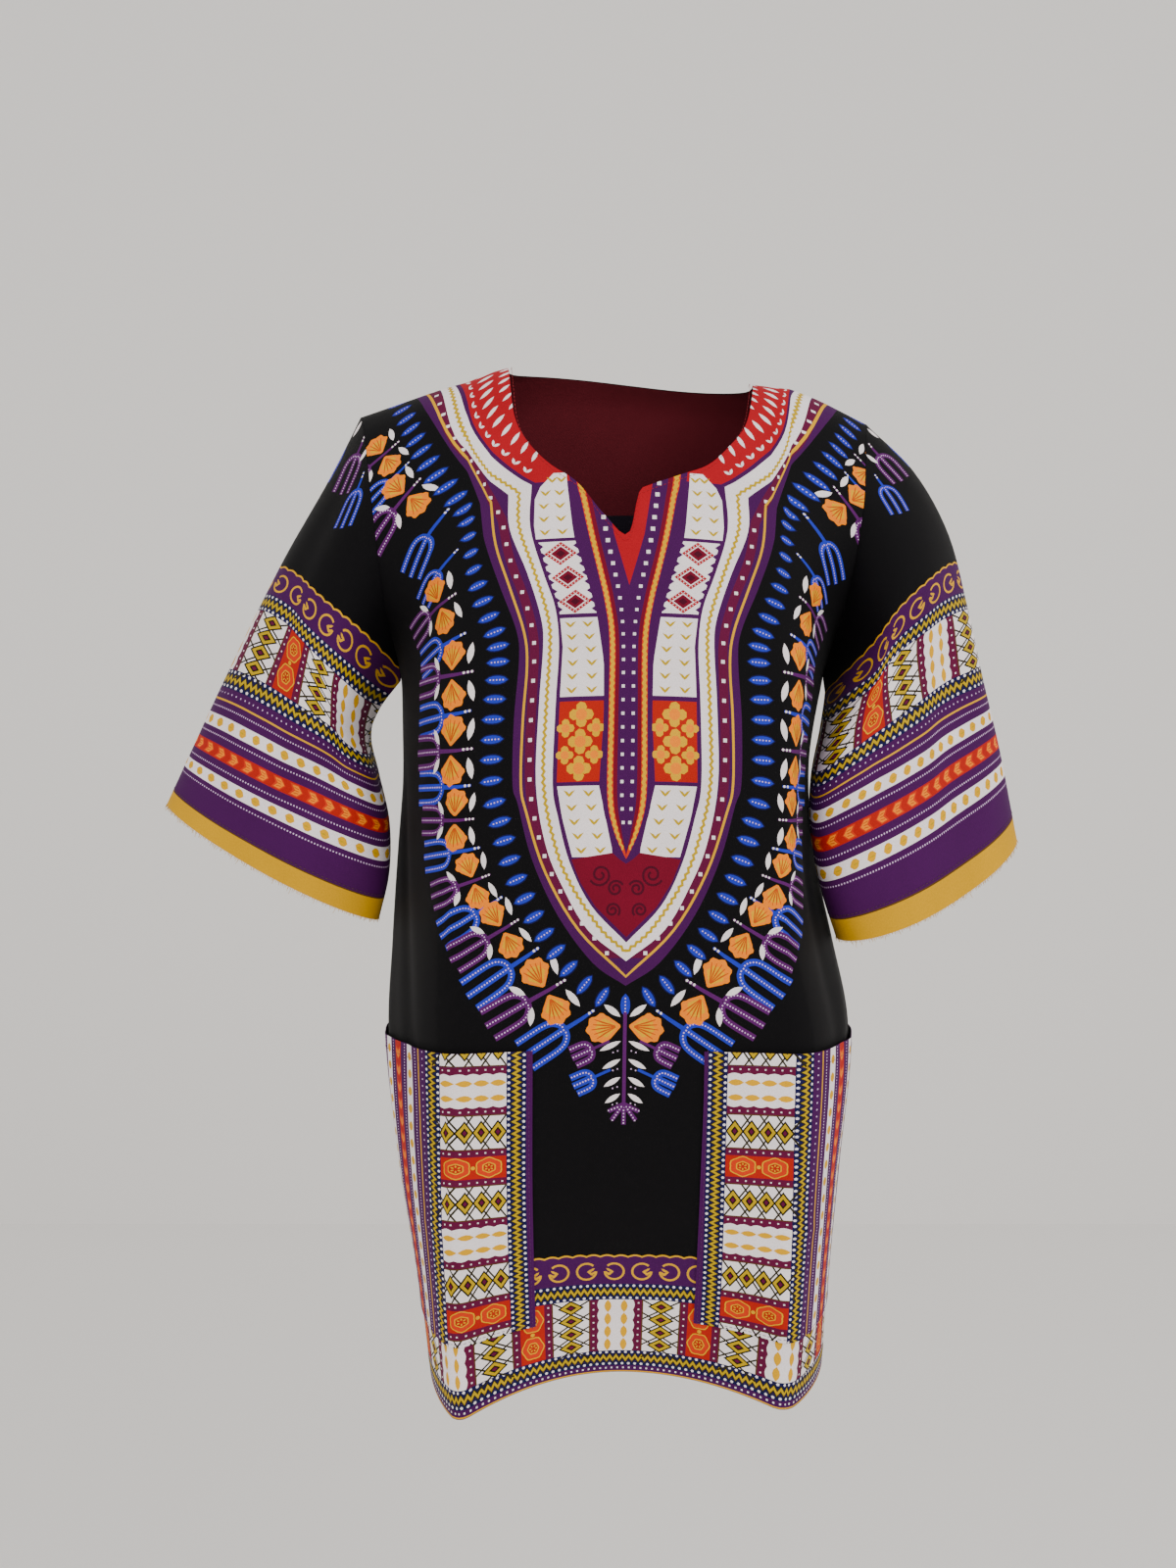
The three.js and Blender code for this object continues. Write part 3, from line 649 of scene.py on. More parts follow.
def sleeve_border(pr, start, end, shift, curls=True, selvedge=14.6, stretch=1.0):
    """The whole border of sleeves and pockets, up from the selvedge. Its upper part is drawn wider by stretch."""
    top = UPPER_FROM + 2 * UNIT + PANELS
    pr.box(start, 0, end, top, "purple")
    wide = pr.placed(lambda p: p * [stretch, 1])
    if curls:
        curl_row(wide, top, start / stretch, end / stretch)
    upper_border(wide, UPPER_FROM, start / stretch, end / stretch, shift / stretch)
    pr.dots(line_across(101.5, start, end), 5.2, 1.5, "lilac")
    pr.strip(line_across(96.5, start, end), 1.3, "gold")
    for y in DOTTED_LINES:
        pr.dots(line_across(y, start, end), 2.3, 1.4, "lilac")
    leaf_band(pr, *UPPER_LEAVES, start, end)
    arrow_band(pr, *ARROWS, start, end)
    leaf_band(pr, *LOWER_LEAVES, start, end)
    if selvedge:
        pr.strip(line_across(selvedge, start, end), 0.9, "brown")
        pr.box(start, -1, end, selvedge - 0.5, "selvedge")


def hem_border(pr, start, end, shift):
    pr.box(start, 0, end, HEM_EDGE, "purple")
    curl_row(pr, HEM_EDGE + 2 * UNIT + PANELS, start, end)
    upper_border(pr, HEM_EDGE, start, end, shift)
    pr.strip(line_across(0.9, start, end), 1.0, "gold")
    pr.dots(line_across(3.8, start, end), 4.2, 1.8, "white")


# ---- The shield round the neck: half widths at distances down the cloth, from the shoulder to the tip ----
RING = [(138, -2), (130, 32), (119, 71), (94, 101), (77, 117), (67, 124)]
WHITE_OUT = [(147, -2), (142, 20), (129, 76), (108, 106), (83, 130), (81.5, 156), (69, 189), (59, 222), (57, 243),
             (59, 282), (60, 332), (53, 371), (42, 398), (25, 427), (0, 447)]
WHITE_IN = [(67, 124), (67.5, 156), (58, 190), (49.5, 216), (46.5, 244), (48, 282), (49, 332), (45, 354), (37, 383),
            (23, 411), (0, 435)]
PURPLE_OUT = [(163, -2), (158, 20), (131, 86), (105, 134), (98, 165), (87, 198), (75, 231), (73, 252), (75.5, 290),
              (75.5, 331), (71.5, 345), (62, 380), (45, 417), (22, 448), (0, 463)]
GOLD_LINE = [(155, -2), (150, 20), (129, 82), (95, 134), (91, 166), (80.5, 199), (70, 232), (67.5, 255), (69.5, 290),
             (70, 331), (66, 350), (53, 389), (31, 427), (0, 457)]
COLUMN_IN = [(46, 100), (43, 119), (38, 163), (29, 193), (21.5, 222), (16.5, 255), (16, 290), (18.5, 334), (9, 376)]
PLACKET = [  # down, then half widths: edge, orange outer, orange inner, dotted strip's outer, dots
    (60, 47, 42.5, 37.5, 34, 27), (119, 41, 36.5, 31.5, 28, 22), (136, 37, 33, 28.5, 25.5, 19.5),
    (163, 32, 27.6, 23.4, 20.6, 15.5), (190, 25, 21.4, 17.4, 14.6, 10), (212, 20, 16.6, 12.6, 10, 6),
    (240, 16, 12.9, 8.9, 6.4, 3.6), (290, 16, 12.9, 8.9, 6.4, 3.4), (340, 16.4, 13, 9, 6.4, 3.3),
    (362, 11.5, 8.6, 5.2, 3.4, 1.8), (376, 4.6, 2.6, 0.7, 0.4, 0.2), (381, 0, 0, 0, 0, 0),
]
WEDGE = [(-26, 40), (-17.6, 120), (-10.4, 163), (0, 201)]  # red, in the notch
TOP_PANEL = [(52, 119), (61, 126), (64.6, 135), (64.8, 145), (64.9, 155), (63.5, 165)]  # its outer edge
TOP_PANEL_FROM = 116
FOOT, FOOT_TOP = [(36, 381), (30, 396), (20, 412), (0, 431.5)], [(9, 377), (4.6, 381), (0, 384)]
SCROLLS = [(17, 391, 7.4, 0.5), (7, 400, 5.4, 3.6), (9, 414, 5.0, 2.4)]  # across, down, radius, start


def half_width(line, down):
    line = np.array(line, float)
    return float(np.interp(down, line[:, 1], line[:, 0]))


def shield(pr):
    def outline(line, *corners):
        return mirrored(smooth(line, 5, corners))

    pr.fill(outline(PURPLE_OUT, 3), "purple")
    dotted = outline([((a + c) / 2, (b + d) / 2) for (a, b), (c, d) in zip(WHITE_OUT, GOLD_LINE)], 4)
    pr.strip(dotted, 6.2, "maroon")
    pr.dots(dotted, 12.6, 3.5, "white")
    pr.strip(outline(GOLD_LINE, 3), 1.6, "gold")
    pr.fill(outline(WHITE_OUT, 4), "white")
    wave = outline([((a + half_width(WHITE_IN, b)) / 2 + 0.6, b - 1) if b > 124 else (a - 5.4, b)
                    for a, b in WHITE_OUT[:-1]] + [(0, 441)], 4)
    pr.strip(wavy(spaced(wave, 2.3), 0.75), 2.1, "olive")
    # purple line round the ring and the columns, with the columns inside it
    pr.fill(outline([*RING, *WHITE_IN[1:]], 5), "purple")
    # red ring
    ring = [(x - 2.4, y - 1.6) for x, y in RING]
    ring_line = smooth(ring, 5)
    pr.fill(np.concatenate([ring_line, (ring_line * [-1, 1])[::-1]]), "red")
    ring_leaves(pr, ring_line)
    for hand in (-1, 1):
        column(pr.placed(lambda p, h=hand: p * [h, 1]))
    placket(pr)


def ring_leaves(pr, ring_line):
    """White strokes round the neck, longer towards the shoulders."""
    for x, y in spaced(ring_line[:-2], 10.5):
        share = np.clip(y / 120, 0, 1)
        inwards = unit(np.array([mix(-1.0, -0.42, share), mix(-0.04, -0.9, share)]))
        for hand in (-1, 1):
            flip = np.array([hand, 1])
            start = np.array([x, y]) + inwards * 12
            end = start + inwards * mix(20, 9.5, share)
            pr.leaf(start * flip, end * flip, mix(4.6, 3.0, share), "white", 3)
            far = end + inwards * 4
            pr.leaf(far * flip, (far + inwards * mix(12, 7.5, share)) * flip, mix(3.4, 2.4, share), "white", 3)
            for turn in (-0.7, 0.7):
                c, s = math.cos(turn), math.sin(turn)
                ahead = np.array([inwards[0] * c - inwards[1] * s, inwards[0] * s + inwards[1] * c])
                base = np.array([x, y]) + inwards * 3.2
                pr.leaf(base * flip, (base + ahead * 5.0) * flip, 2.2, "white", 2)


def birds(pr, ys, across):
    """Two columns of small olive birds."""
    count = int((ys[-1] - ys[0]) / 8.2)
    for k in range(count):
        y = ys[0] + (ys[-1] - ys[0]) * (k + 0.5) / count
        for q in (0.28, 0.74):
            x = across(q, y)
            pr.fill([(x - 4, y - 2.1), (x - 1.2, y - 0.9), (x, y + 0.5), (x + 1.2, y - 0.9), (x + 4, y - 2.1),
                     (x + 1.6, y + 1.2), (x, y + 2.5), (x - 1.6, y + 1.2)], "olive")


def lozenges(pr, ys, across):
    """Three ringed lozenges between purple teeth."""
    for side, q in ((-1, 0.0), (1, 1.0)):
        for k in range(8):
            y = ys[0] + (ys[-1] - ys[0]) * (k + 0.5) / 8
            x = across(q, y)
            pr.fill([(x + side * 0.6, y - 2.4), (x - side * 2.6, y), (x + side * 0.6, y + 2.4)], "purple")
    w, h = 11.0, 8.6
    for k in range(3):
        y = ys[0] + (ys[-1] - ys[0]) * (k + 0.5) / 3
        x = across(0.5, y)
        for scale, ink in ((1.0, "red"), (0.72, "white"), (0.6, "burgundy"), (0.3, "scroll")):
            pr.lozenge(x, y, w * scale, h * scale, ink)
        for sx, sy in ((1, 1), (-1, 1), (-1, -1), (1, -1)):
            pr.dots([(x + sx * w * 0.86, y), (x, y + sy * h * 0.86)], 2.1, 1.0, "white")


def quatrefoils(pr, ys, across):
    """Three whole quatrefoils, with smaller ones at both edges between them."""
    for k in range(3):
        y = ys[0] + (ys[-1] - ys[0]) * (k + 0.5) / 3
        for q, r, drop, inwards in ((0.5, 7.4, 0, 0), (0.0, 5.4, 8.5, 4.6), (1.0, 5.4, 8.5, -4.6)):
            if y + drop > ys[-1] - 3:
                continue
            x = across(q, y + drop) + inwards
            for a in np.arange(4) * math.pi / 2:
                pr.disc(x + r * 0.62 * math.cos(a), y + drop + r * 0.62 * math.sin(a), r * 0.5, "gold", 7)
            pr.disc(x, y + drop, r * 0.52, "orange", 8)


def column(pr):
    """The panels on one side of the placket, at positive half widths."""
    for low, high, draw in COLUMN_PANELS:
        if high == TOP_PANEL[-1][1]:
            outer, ys = np.array(TOP_PANEL, float).T
        else:
            ys = np.linspace(low, high, 9)
            outer = np.array([half_width(WHITE_IN, y) - 2.6 for y in ys])
        inner = np.array([half_width(COLUMN_IN, y) for y in ys])
        ys[0] = low
        pr.fill(np.concatenate([np.stack([outer, ys], 1), np.stack([inner, ys], 1)[::-1]]),
                "brick" if draw is quatrefoils else "white")
        draw(pr, ys, lambda q, y: mix(float(np.interp(y, ys, inner)), float(np.interp(y, ys, outer)), q))


COLUMN_PANELS = [(TOP_PANEL_FROM, 165, birds), (167.5, 221, lozenges), (224, 277, birds), (280, 331.5, quatrefoils),
                 (334, 379.5, birds)]


def placket(pr):
    table = np.array(PLACKET, float)
    for c, ink in ((1, "purple"), (2, "vermilion"), (3, "burgundy"), (4, "purple")):
        pr.fill(mirrored(smooth(table[:, [c, 0]], 4)), ink)
    middle = np.stack([(table[:, 2] + table[:, 3]) / 2, table[:, 0]], 1)
    run = spaced(smooth(middle[:-1], 6), 2.1)
    width = np.interp(run[:, 1], table[:, 0], table[:, 2] - table[:, 3]) * 0.66
    run = wavy(run, 0.5)
    for hand in (-1, 1):
        pr.strip(run * [hand, 1], np.maximum(width, 0.8), "gold")
        for x, y in spaced(smooth(table[:-2, [5, 0]], 6), 8.6):
            if y > 120:
                pr.disc(hand * x, y, mix(2.1, 1.45, float(ease(150, 240, y))), "white", 4)
    pr.fill(mirrored(WEDGE), "red")
    pr.fill(np.concatenate([mirrored(FOOT), mirrored(FOOT_TOP)[::-1]]), "burgundy")
    turn = np.linspace(0, 3.2 * math.pi, 30)
    for hand in (-1, 1):
        for x, y, r, start in SCROLLS:
            radius = r * (1 - 0.8 * turn / turn[-1])
            pr.strip(np.stack([hand * (x + radius * np.cos(turn + start)), y + radius * np.sin(turn + start)], 1),
                     1.5, "scroll")


# ---- Rays, flowers and forks round the shield ----
# Stems outwards from the shield: where each starts (across, down), its direction (across, down) and its size
MAUVE_STEMS = [
    (168, 62, 0.86, 0.5, 0.9), (148, 101, 0.76, 0.65, 0.95), (121, 198, 0.93, 0.37, 1.0), (104, 255, 1.0, 0.04, 1.0),
    (103, 306, 1.0, 0.0, 1.0), (101, 352, 1.0, 0.0, 0.86), (90, 389, 0.95, 0.3, 0.8), (71, 419, 0.87, 0.5, 0.86),
    (40, 459, 0.87, 0.49, 1.0),
]
BLUE_STEMS = [
    (158, 84, 0.8, 0.6, 0.8), (130, 132, 0.64, 0.77, 0.9), (123, 165, 0.7, 0.7, 0.8), (110, 228, 0.94, 0.3, 1.0),
    (105, 281, 1.0, 0.08, 1.0), (104, 330, 1.0, 0.0, 1.0), (97, 371, 0.98, 0.12, 0.9), (82, 404, 0.85, 0.5, 0.9),
    (58, 438, 0.84, 0.55, 1.0), (21, 479, 0.84, 0.55, 1.0),
]


def flower(pr, base, tip, width):
    a, b = np.array(base, float), np.array(tip, float)
    size = np.linalg.norm(b - a)
    local = pr.at(a, b - a)
    turn = np.linspace(-2.2, 2.2, 23)
    r = 0.44 * size * (1 + 0.09 * np.cos(7.5 * turn))
    crown = np.stack([0.56 * size + r * np.cos(turn), width / size / 0.88 * r * np.sin(turn)], 1)
    local.fill(np.concatenate([[(0, -0.8)], crown, [(0, 0.8)]]), "orange")
    local.fill(np.concatenate([[(0.1 * size, -0.3)], crown * 0.62 + [0.12 * size, 0], [(0.1 * size, 0.3)]]), "gold")
    for k in (-2, -1, 0, 1, 2):
        reach = size * (0.86 - 0.06 * abs(k))
        local.strip([(0.14 * size, 0.2 * k), (0.5 * size, k * width * 0.1), (reach, k * width * 0.17)],
                    [0.5, 1.1, 0.5], "vein")


def fork(pr, length, width, ink):
    """Three dotted prongs that open along the first axis."""
    half = width / 2
    prongs = [
        smooth([(0, 0), (0.07 * length, s * half * 0.6), (0.3 * length, s * half), (length * 0.96, s * half * 1.06)], 5)
        for s in (-1, 1)
    ] + [np.array([(0, 0), (length * 0.5, 0), (length, 0)])]
    for line in prongs:
        pr.strip(line, 4.6, ink)
    for line in prongs:
        pr.dots(line[1:] if len(line) > 4 else line, 2.0, 1.35, "lilac")


def stem(pr, reach, ink, dots):
    pr.strip([(-1, 0), (reach * 0.4, 0.3), (reach, 0)], [1.4, 2.4, 3.0], ink)
    for k in range(dots):
        pr.disc(0.3 + 2.7 * k, 0, 1.0, "white", 5)


def branch(pr, place, ink, reach, fork_from, fork_length, dots):
    """A stem that ends in a fork."""
    x, y, dx, dy, size = place
    local = pr.at((x, y), (dx, dy)).placed(lambda p: p * size)
    stem(local, reach, ink, dots)
    fork(local.placed(lambda p: p + [fork_from, 0]), fork_length, 19, ink)
    return local


def wreath(pr):
    for hand in (-1, 1):
        side = pr.placed(lambda p, h=hand: p * [h, 1])
        for place in BLUE_STEMS:
            branch(side, place, "blue", 22, 22, 33, 2)
        for place in MAUVE_STEMS:
            local = branch(side, place, "mauve", 27, 28, 31, 3)
            for s in (-1, 1):
                flower(local, (14, 3.2 * s), (15, 23.5 * s), 19)
                local.leaf((2.5, 5.5 * s), (-0.5, 20 * s), 4.6, "white", 4)
                local.leaf((27, 4.5 * s), (34, 15 * s), 4.4, "white", 4)
        rays(side)
    tassel(pr)


def tassel(pr):
    """What hangs from the shield's tip: two flowers, leaves, small forks and a mauve brush."""
    flower(pr, (-3, 489), (-25, 492), 19)
    flower(pr, (3, 489), (25, 492), 19)
    for hand in (-1, 1):
        pr.leaf((hand * 3, 483), (hand * 14, 475), 4.2, "white")
        for down, reach in ((499, 14), (511, 12), (523, 11), (534, 10)):
            pr.leaf((hand * 2.5, down), (hand * (2.5 + reach), down + 6.5), 3.6, "white")
            pr.dots([(hand * 3, down + 6), (hand * 9, down + 8)], 2.2, 1.2, "lilac")
        for x, y, ink in ((22, 505, "mauve"), (21, 524, "blue")):
            local = pr.at((hand * (x - 12), y - 6), (hand * 0.9, 0.42))
            local.strip([(0, 0), (14, 0)], 1.8, ink)
            fork(local.placed(lambda p: p + [13, 0]), 14, 11, ink)
    pr.strip([(0, 480), (0, 548)], 2.4, "mauve")
    local = pr.at((0, 541), (0, 1))
    for s in (-1, 0, 1):
        reach = 5 if s else 14
        local.strip([(0, 0), (reach, 10 * s)], 3.0, "mauve")
        local.dots([(1, s), (reach, 11 * s)], 2.0, 1.3, "lilac")
        local.strip([(0, 0), (11, 8 * s + 0.01)], 3.0, "mauve")
        local.dots([(1, s), (12, 8 * s)], 2.0, 1.3, "lilac")


def sleeve_forks(pr, top):
    """Forks that run on from the panels over the top of a sleeve, top being how far up its cap is."""
    for x, drop, dx, ink in ((-52, 34, -0.35, "blue"), (-26, 12, -0.2, "mauve"), (2, 10, 0.0, "blue"),
                             (30, 14, 0.2, "mauve"), (56, 36, 0.4, "blue")):
        local = pr.at((x, top - drop), (dx, -1))
        stem(local, 14, ink, 2)
        fork(local.placed(lambda p: p + [14, 0]), 30, 19, ink)
    for x, drop in ((-38, 18), (-12, 8), (16, 8), (43, 22)):
        pr.leaf((x, top - drop + 4), (x - 2, top - drop - 9), 4.6, "white")


def rays(pr):
    line = smooth(PURPLE_OUT, 5, (3,))
    run = spaced(line, 12.4, 0.3)
    for i, (x, y) in enumerate(run):
        a, b = run[max(0, i - 1)], run[min(len(run) - 1, i + 1)]
        out = left_of(unit(b - a))
        out = out if out[0] > -0.2 and out @ [1, 0.6] > 0 else -out
        local = pr.at((x, y), out)
        local.leaf((5.5, 0), (22.5, 0), 7.2, "navy", 5, 0.55)
        local.leaf((6.5, 0), (21.5, 0), 5.4, "blue", 5, 0.55)
        local.dots([(8.6, 0), (19.4, 0)], 2.1, 1.25, "lilac")
    local = pr.at((0, 465), (0, 1))  # the ray at the tip
    local.leaf((3, 0), (18, 0), 6.4, "blue", 5, 0.55)
    local.dots([(5, 0), (16, 0)], 2.1, 1.25, "lilac")


# ---- Cloth pieces ----
MAP_MARGIN, RIM_STRIP = 4, 2.5  # of the map for baking, in mm of cloth
MAP_GAP, INNER_SCALE = 0.004, 0.46  # between the two faces on it, and the inner face's scale


def along(line, step):
    """Points at equal steps along an open line, its ends included."""
    line = np.array(line, float)
    run = lengths_along(line)
    return points_at(line, run, np.linspace(0, run[-1], max(1, round(run[-1] / step)) + 1))


def closed(*sides, step=GRID):
    """An outline from its sides, end to end."""
    return np.concatenate([along(side, step)[:-1] for side in sides])


def area_of(outline):
    x, y = outline[:, 0], outline[:, 1]
    return (x @ np.roll(y, -1) - y @ np.roll(x, -1)) / 2


def grid_over(outline, step):
    """Points in staggered rows over an outline's box."""
    low, high = outline.min(0), outline.max(0)
    rows = np.arange(low[1] + step / 2, high[1], step * 0.87)
    points = [
        np.stack(np.broadcast_arrays(np.arange(low[0] + step * (0.25 + 0.5 * (k % 2)), high[0], step), y), 1)
        for k, y in enumerate(rows)
    ]
    return np.concatenate(points)


def triangulated(outline, shapes, grid, join=1e-3):
    """Triangles of an outline cut along shapes, with the number of the shape that shows on each (0 for none),
    and the vertices where the outline's own points ended up."""
    if area_of(outline) < 0:
        outline = outline[::-1]
    verts, faces = [Vector(p) for p in outline], [list(range(len(outline)))]
    for points, _ in shapes:
        points = points if area_of(points) > 0 else points[::-1]
        faces.append(list(range(len(verts), len(verts) + len(points))))
        verts += [Vector(p) for p in points]
    verts += [Vector(p) for p in grid]
    coords, _, tris, from_verts, _, from_faces = delaunay_2d_cdt(verts, [], faces, 0, join, True)
    kept = [(t, max(o)) for t, o in zip(tris, from_faces) if 0 in o]
    home = {given: i for i, all_given in enumerate(from_verts) for given in all_given}
    outline_at = np.array([home[i] for i in range(len(outline))])
    return np.array(coords, float)[:, :2], np.array([t for t, _ in kept]), np.array([o for _, o in kept]), outline_at


def border_loop(tris):
    """The vertices round the edge of a disc of triangles, in order."""
    edges = {}
    pairs = np.concatenate([tris[:, [0, 1]], tris[:, [1, 2]], tris[:, [2, 0]]])
    present = set(map(tuple, pairs.tolist()))
    for a, b in present:
        if (b, a) not in present:
            edges[a] = b
    start = next(iter(edges))
    loop, at = [start], edges[start]
    while at != start:
        loop.append(at)
        at = edges[at]
    return np.array(loop)


def finer(points, step):
    """A closed line with no edge longer than step."""
    ends = np.roll(points, -1, 0)
    parts = np.ceil(np.linalg.norm(ends - points, axis=1) / step).astype(int).clip(1)
    if parts.max() == 1:
        return points
    return np.concatenate([a + (b - a) * (np.arange(n) / n)[:, None] for a, b, n in zip(points, ends, parts)])


def within(shapes, outline, slack=1.0):
    """The shapes that touch an outline's box, with points close enough to follow the cloth."""
    low, high = outline.min(0) - slack, outline.max(0) + slack
    return [(finer(p, EDGE), ink) for p, ink in shapes if (p.max(0) > low).all() and (p.min(0) < high).all()]


def new_piece(name, points, faces, material):
    """A smooth piece from points in mm."""
    mesh = bpy.data.meshes.new(name)
    mesh.from_pydata((points / 1000).tolist(), [], faces)
    mesh.polygons.foreach_set("use_smooth", np.ones(len(faces), bool))
    mesh.materials.append(material)
    mesh.update()
    piece = bpy.data.objects.new(name, mesh)
    bpy.context.collection.objects.link(piece)
    return piece


def inks_shown(base, shapes, shown):
    """The colour of each triangle, base where no shape lies."""
    return np.array([linear(INKS[ink]) for ink in (base, *(ink for _, ink in shapes))])[shown]


def faces_inwards(points, normals, tris):
    """Whether triangles face against the surface's normals."""
    corners = points[tris]
    facing = np.cross(corners[:, 1] - corners[:, 0], corners[:, 2] - corners[:, 0])
    return (facing * normals[tris[:, 0]]).sum() < 0


def bake_map(outline, flat, inner_flat, loop, rim, vertices):
    """A map without overlaps, a point for each face corner: the outer face, the inner face smaller beside it, and
    the edge as a narrow strip round the outer face."""
    low, high = outline.min(0) - MAP_MARGIN, outline.max(0) + MAP_MARGIN
    wide, tall = high - low
    size = max(tall, wide * 1.5)
    inner = (inner_flat - low) / size * INNER_SCALE + [wide / size + MAP_GAP, MAP_GAP]
    at = np.concatenate([(flat - low) / size, inner])
    corners = at[vertices]
    outwards = unit(flat[loop] - flat[loop].mean(0)) * RIM_STRIP / size
    order = {v: i for i, v in enumerate(loop.tolist())}
    strip = np.empty((len(rim), 4, 2))
    for corner, outer_corner in enumerate((0, 1, 1, 0)):
        base = rim[:, outer_corner]
        strip[:, corner] = at[base]
        if corner > 1:
            strip[:, corner] += outwards[[order[v] for v in base.tolist()]]
    corners[-4 * len(rim):] = strip.reshape(-1, 2)
    return corners


def cloth(name, outline, shapes, surface, material, inner_shapes=(), ground="black", extra=()):
    """A closed sheet: printed outside, plainer inside, with a thin edge between them."""
    inner_shapes = within(inner_shapes, outline)
    # the inner print's own edges are cut into the outer sheet too, so that both share their edge points
    shapes = [(p, ground) for p, _ in inner_shapes] + within(shapes, outline)
    flat, tris, shown, _ = triangulated(outline, shapes, np.concatenate([grid_over(outline, GRID), *extra]))
    used = np.unique(tris)
    index = np.full(len(flat), -1)
    index[used] = np.arange(len(used))
    flat, tris = flat[used], index[tris]
    loop = border_loop(tris)
    inner_flat, inner_tris, inner_shown, near = triangulated(
        flat[loop], inner_shapes, np.concatenate([grid_over(outline, INNER_GRID), *extra]), join=1e-6)
    points, normals = surface(flat)
    inner_points, inner_normals = surface(inner_flat, -CLOTH)
    turned = faces_inwards(points, normals, tris[:400])
    count = len(flat)
    outer_tris = tris[:, ::-1] if turned else tris
    inner_tris = (inner_tris if turned else inner_tris[:, ::-1]) + count
    a, b = loop, np.roll(loop, -1)
    inner_a, inner_b = near + count, np.roll(near, -1) + count
    rim = np.stack([a, b, inner_b, inner_a] if turned else [b, a, inner_a, inner_b], 1)
    faces = [*outer_tris.tolist(), *inner_tris.tolist(), *rim.tolist()]
    piece = new_piece(name, np.concatenate([points, inner_points]), faces, material)
    mesh = piece.data
    # colours
    inks = np.concatenate([inks_shown(ground, shapes, shown), inks_shown("inside", inner_shapes, inner_shown),
                           np.tile(linear(INKS[ground]), (len(rim), 1))])
    sides = [len(face) for face in faces]
    colours = np.concatenate([np.repeat(inks, sides, axis=0), np.ones((sum(sides), 1))], 1)
    mesh.color_attributes.new("Print", "FLOAT_COLOR", "CORNER").data.foreach_set("color", colours.ravel())
    # maps: Cloth for the weave in metres, OFBake for baking
    vertices = np.zeros(len(mesh.loops), np.int32)
    mesh.loops.foreach_get("vertex_index", vertices)
    weave_map = (np.concatenate([flat, inner_flat]) / 1000)[vertices]
    mesh.uv_layers.new(name="Cloth").data.foreach_set("uv", weave_map.ravel())
    corners = bake_map(outline, flat, inner_flat, loop, rim, vertices)
    mesh.uv_layers.new(name="OFBake").data.foreach_set("uv", corners.ravel())
    mesh.normals_split_custom_set_from_vertices(np.concatenate([normals, -inner_normals]).tolist())
    mesh.update()
    return piece


# ---- Materials ----
THREAD_SHADE = 0.16
WEAVE_PITCH = 0.0011  # in metres, coarser than the real weave so that renders show it


def cotton(name):
    """Printed plain-weave cotton: the print's colour, uneven dye and a fine weave."""
    material = bpy.data.materials.new(name)
    material.use_nodes = True
    nodes, links = material.node_tree.nodes, material.node_tree.links
    shader = nodes["Principled BSDF"]
    shader.inputs["Roughness"].default_value = 0.74
    shader.inputs["Sheen Weight"].default_value = 0.03
    shader.inputs["Sheen Roughness"].default_value = 0.4
    shader.inputs["Specular IOR Level"].default_value = 0.12

    def node(kind, **values):
        made = nodes.new(kind)
        for key, value in values.items():
            if key in made.inputs:
                made.inputs[key].default_value = value
            else:
                setattr(made, key, value)
        return made

    def math_node(operation, a, b=None):
        made = node("ShaderNodeMath", operation=operation)
        for socket, value in zip(made.inputs, (a, b)):
            if isinstance(value, (int, float)):
                socket.default_value = value
            elif value is not None:
                links.new(value, socket)
        return made.outputs[0]

    uv = node("ShaderNodeUVMap", uv_map="Cloth")
    split = node("ShaderNodeSeparateXYZ")
    links.new(uv.outputs[0], split.inputs[0])
    per_metre = 2 * math.pi / WEAVE_PITCH
    warp = math_node("SINE", math_node("MULTIPLY", split.outputs[0], per_metre))
    weft = math_node("SINE", math_node("MULTIPLY", split.outputs[1], per_metre))
    weave = math_node("MULTIPLY", warp, weft)
    thread = node("ShaderNodeTexNoise", Scale=900.0, Detail=1.0)
    links.new(uv.outputs[0], thread.inputs["Vector"])
    stretched = node("ShaderNodeMapping")
    stretched.inputs["Scale"].default_value = (26, 19, 1)
    links.new(uv.outputs[0], stretched.inputs[0])
    dye = node("ShaderNodeTexNoise", Scale=1.0, Detail=3.0)
    links.new(stretched.outputs[0], dye.inputs["Vector"])
    shade = math_node("ADD", math_node("MULTIPLY", dye.outputs[0], 0.3), 0.85)
    grain = math_node("ADD", math_node("MULTIPLY", thread.outputs[0], 2 * THREAD_SHADE), 1 - THREAD_SHADE)
    fine = math_node("ADD", math_node("MULTIPLY", weave, 0.05), 1.0)
    factor = math_node("MULTIPLY", math_node("MULTIPLY", shade, grain), fine)
    print_colour = node("ShaderNodeVertexColor", layer_name="Print")
    tint = node("ShaderNodeVectorMath", operation="MULTIPLY")
    links.new(print_colour.outputs[0], tint.inputs[0])
    links.new(factor, tint.inputs[1])
    links.new(tint.outputs[0], shader.inputs["Base Color"])
    bump = node("ShaderNodeBump", Strength=0.18, Distance=0.0004)
    height = math_node("ADD", weave, math_node("MULTIPLY", thread.outputs[0], 1.5))
    links.new(height, bump.inputs["Height"])
    links.new(bump.outputs[0], shader.inputs["Normal"])
    return material


def plain(name, colour, roughness):
    material = bpy.data.materials.new(name)
    material.use_nodes = True
    shader = material.node_tree.nodes["Principled BSDF"]
    shader.inputs["Base Color"].default_value = (*colour, 1)
    shader.inputs["Roughness"].default_value = roughness
    return material


body_cotton = cotton("printed_cotton_body")
sleeve_cotton = cotton("printed_cotton_sleeves")
pocket_cotton = cotton("printed_cotton_pockets")

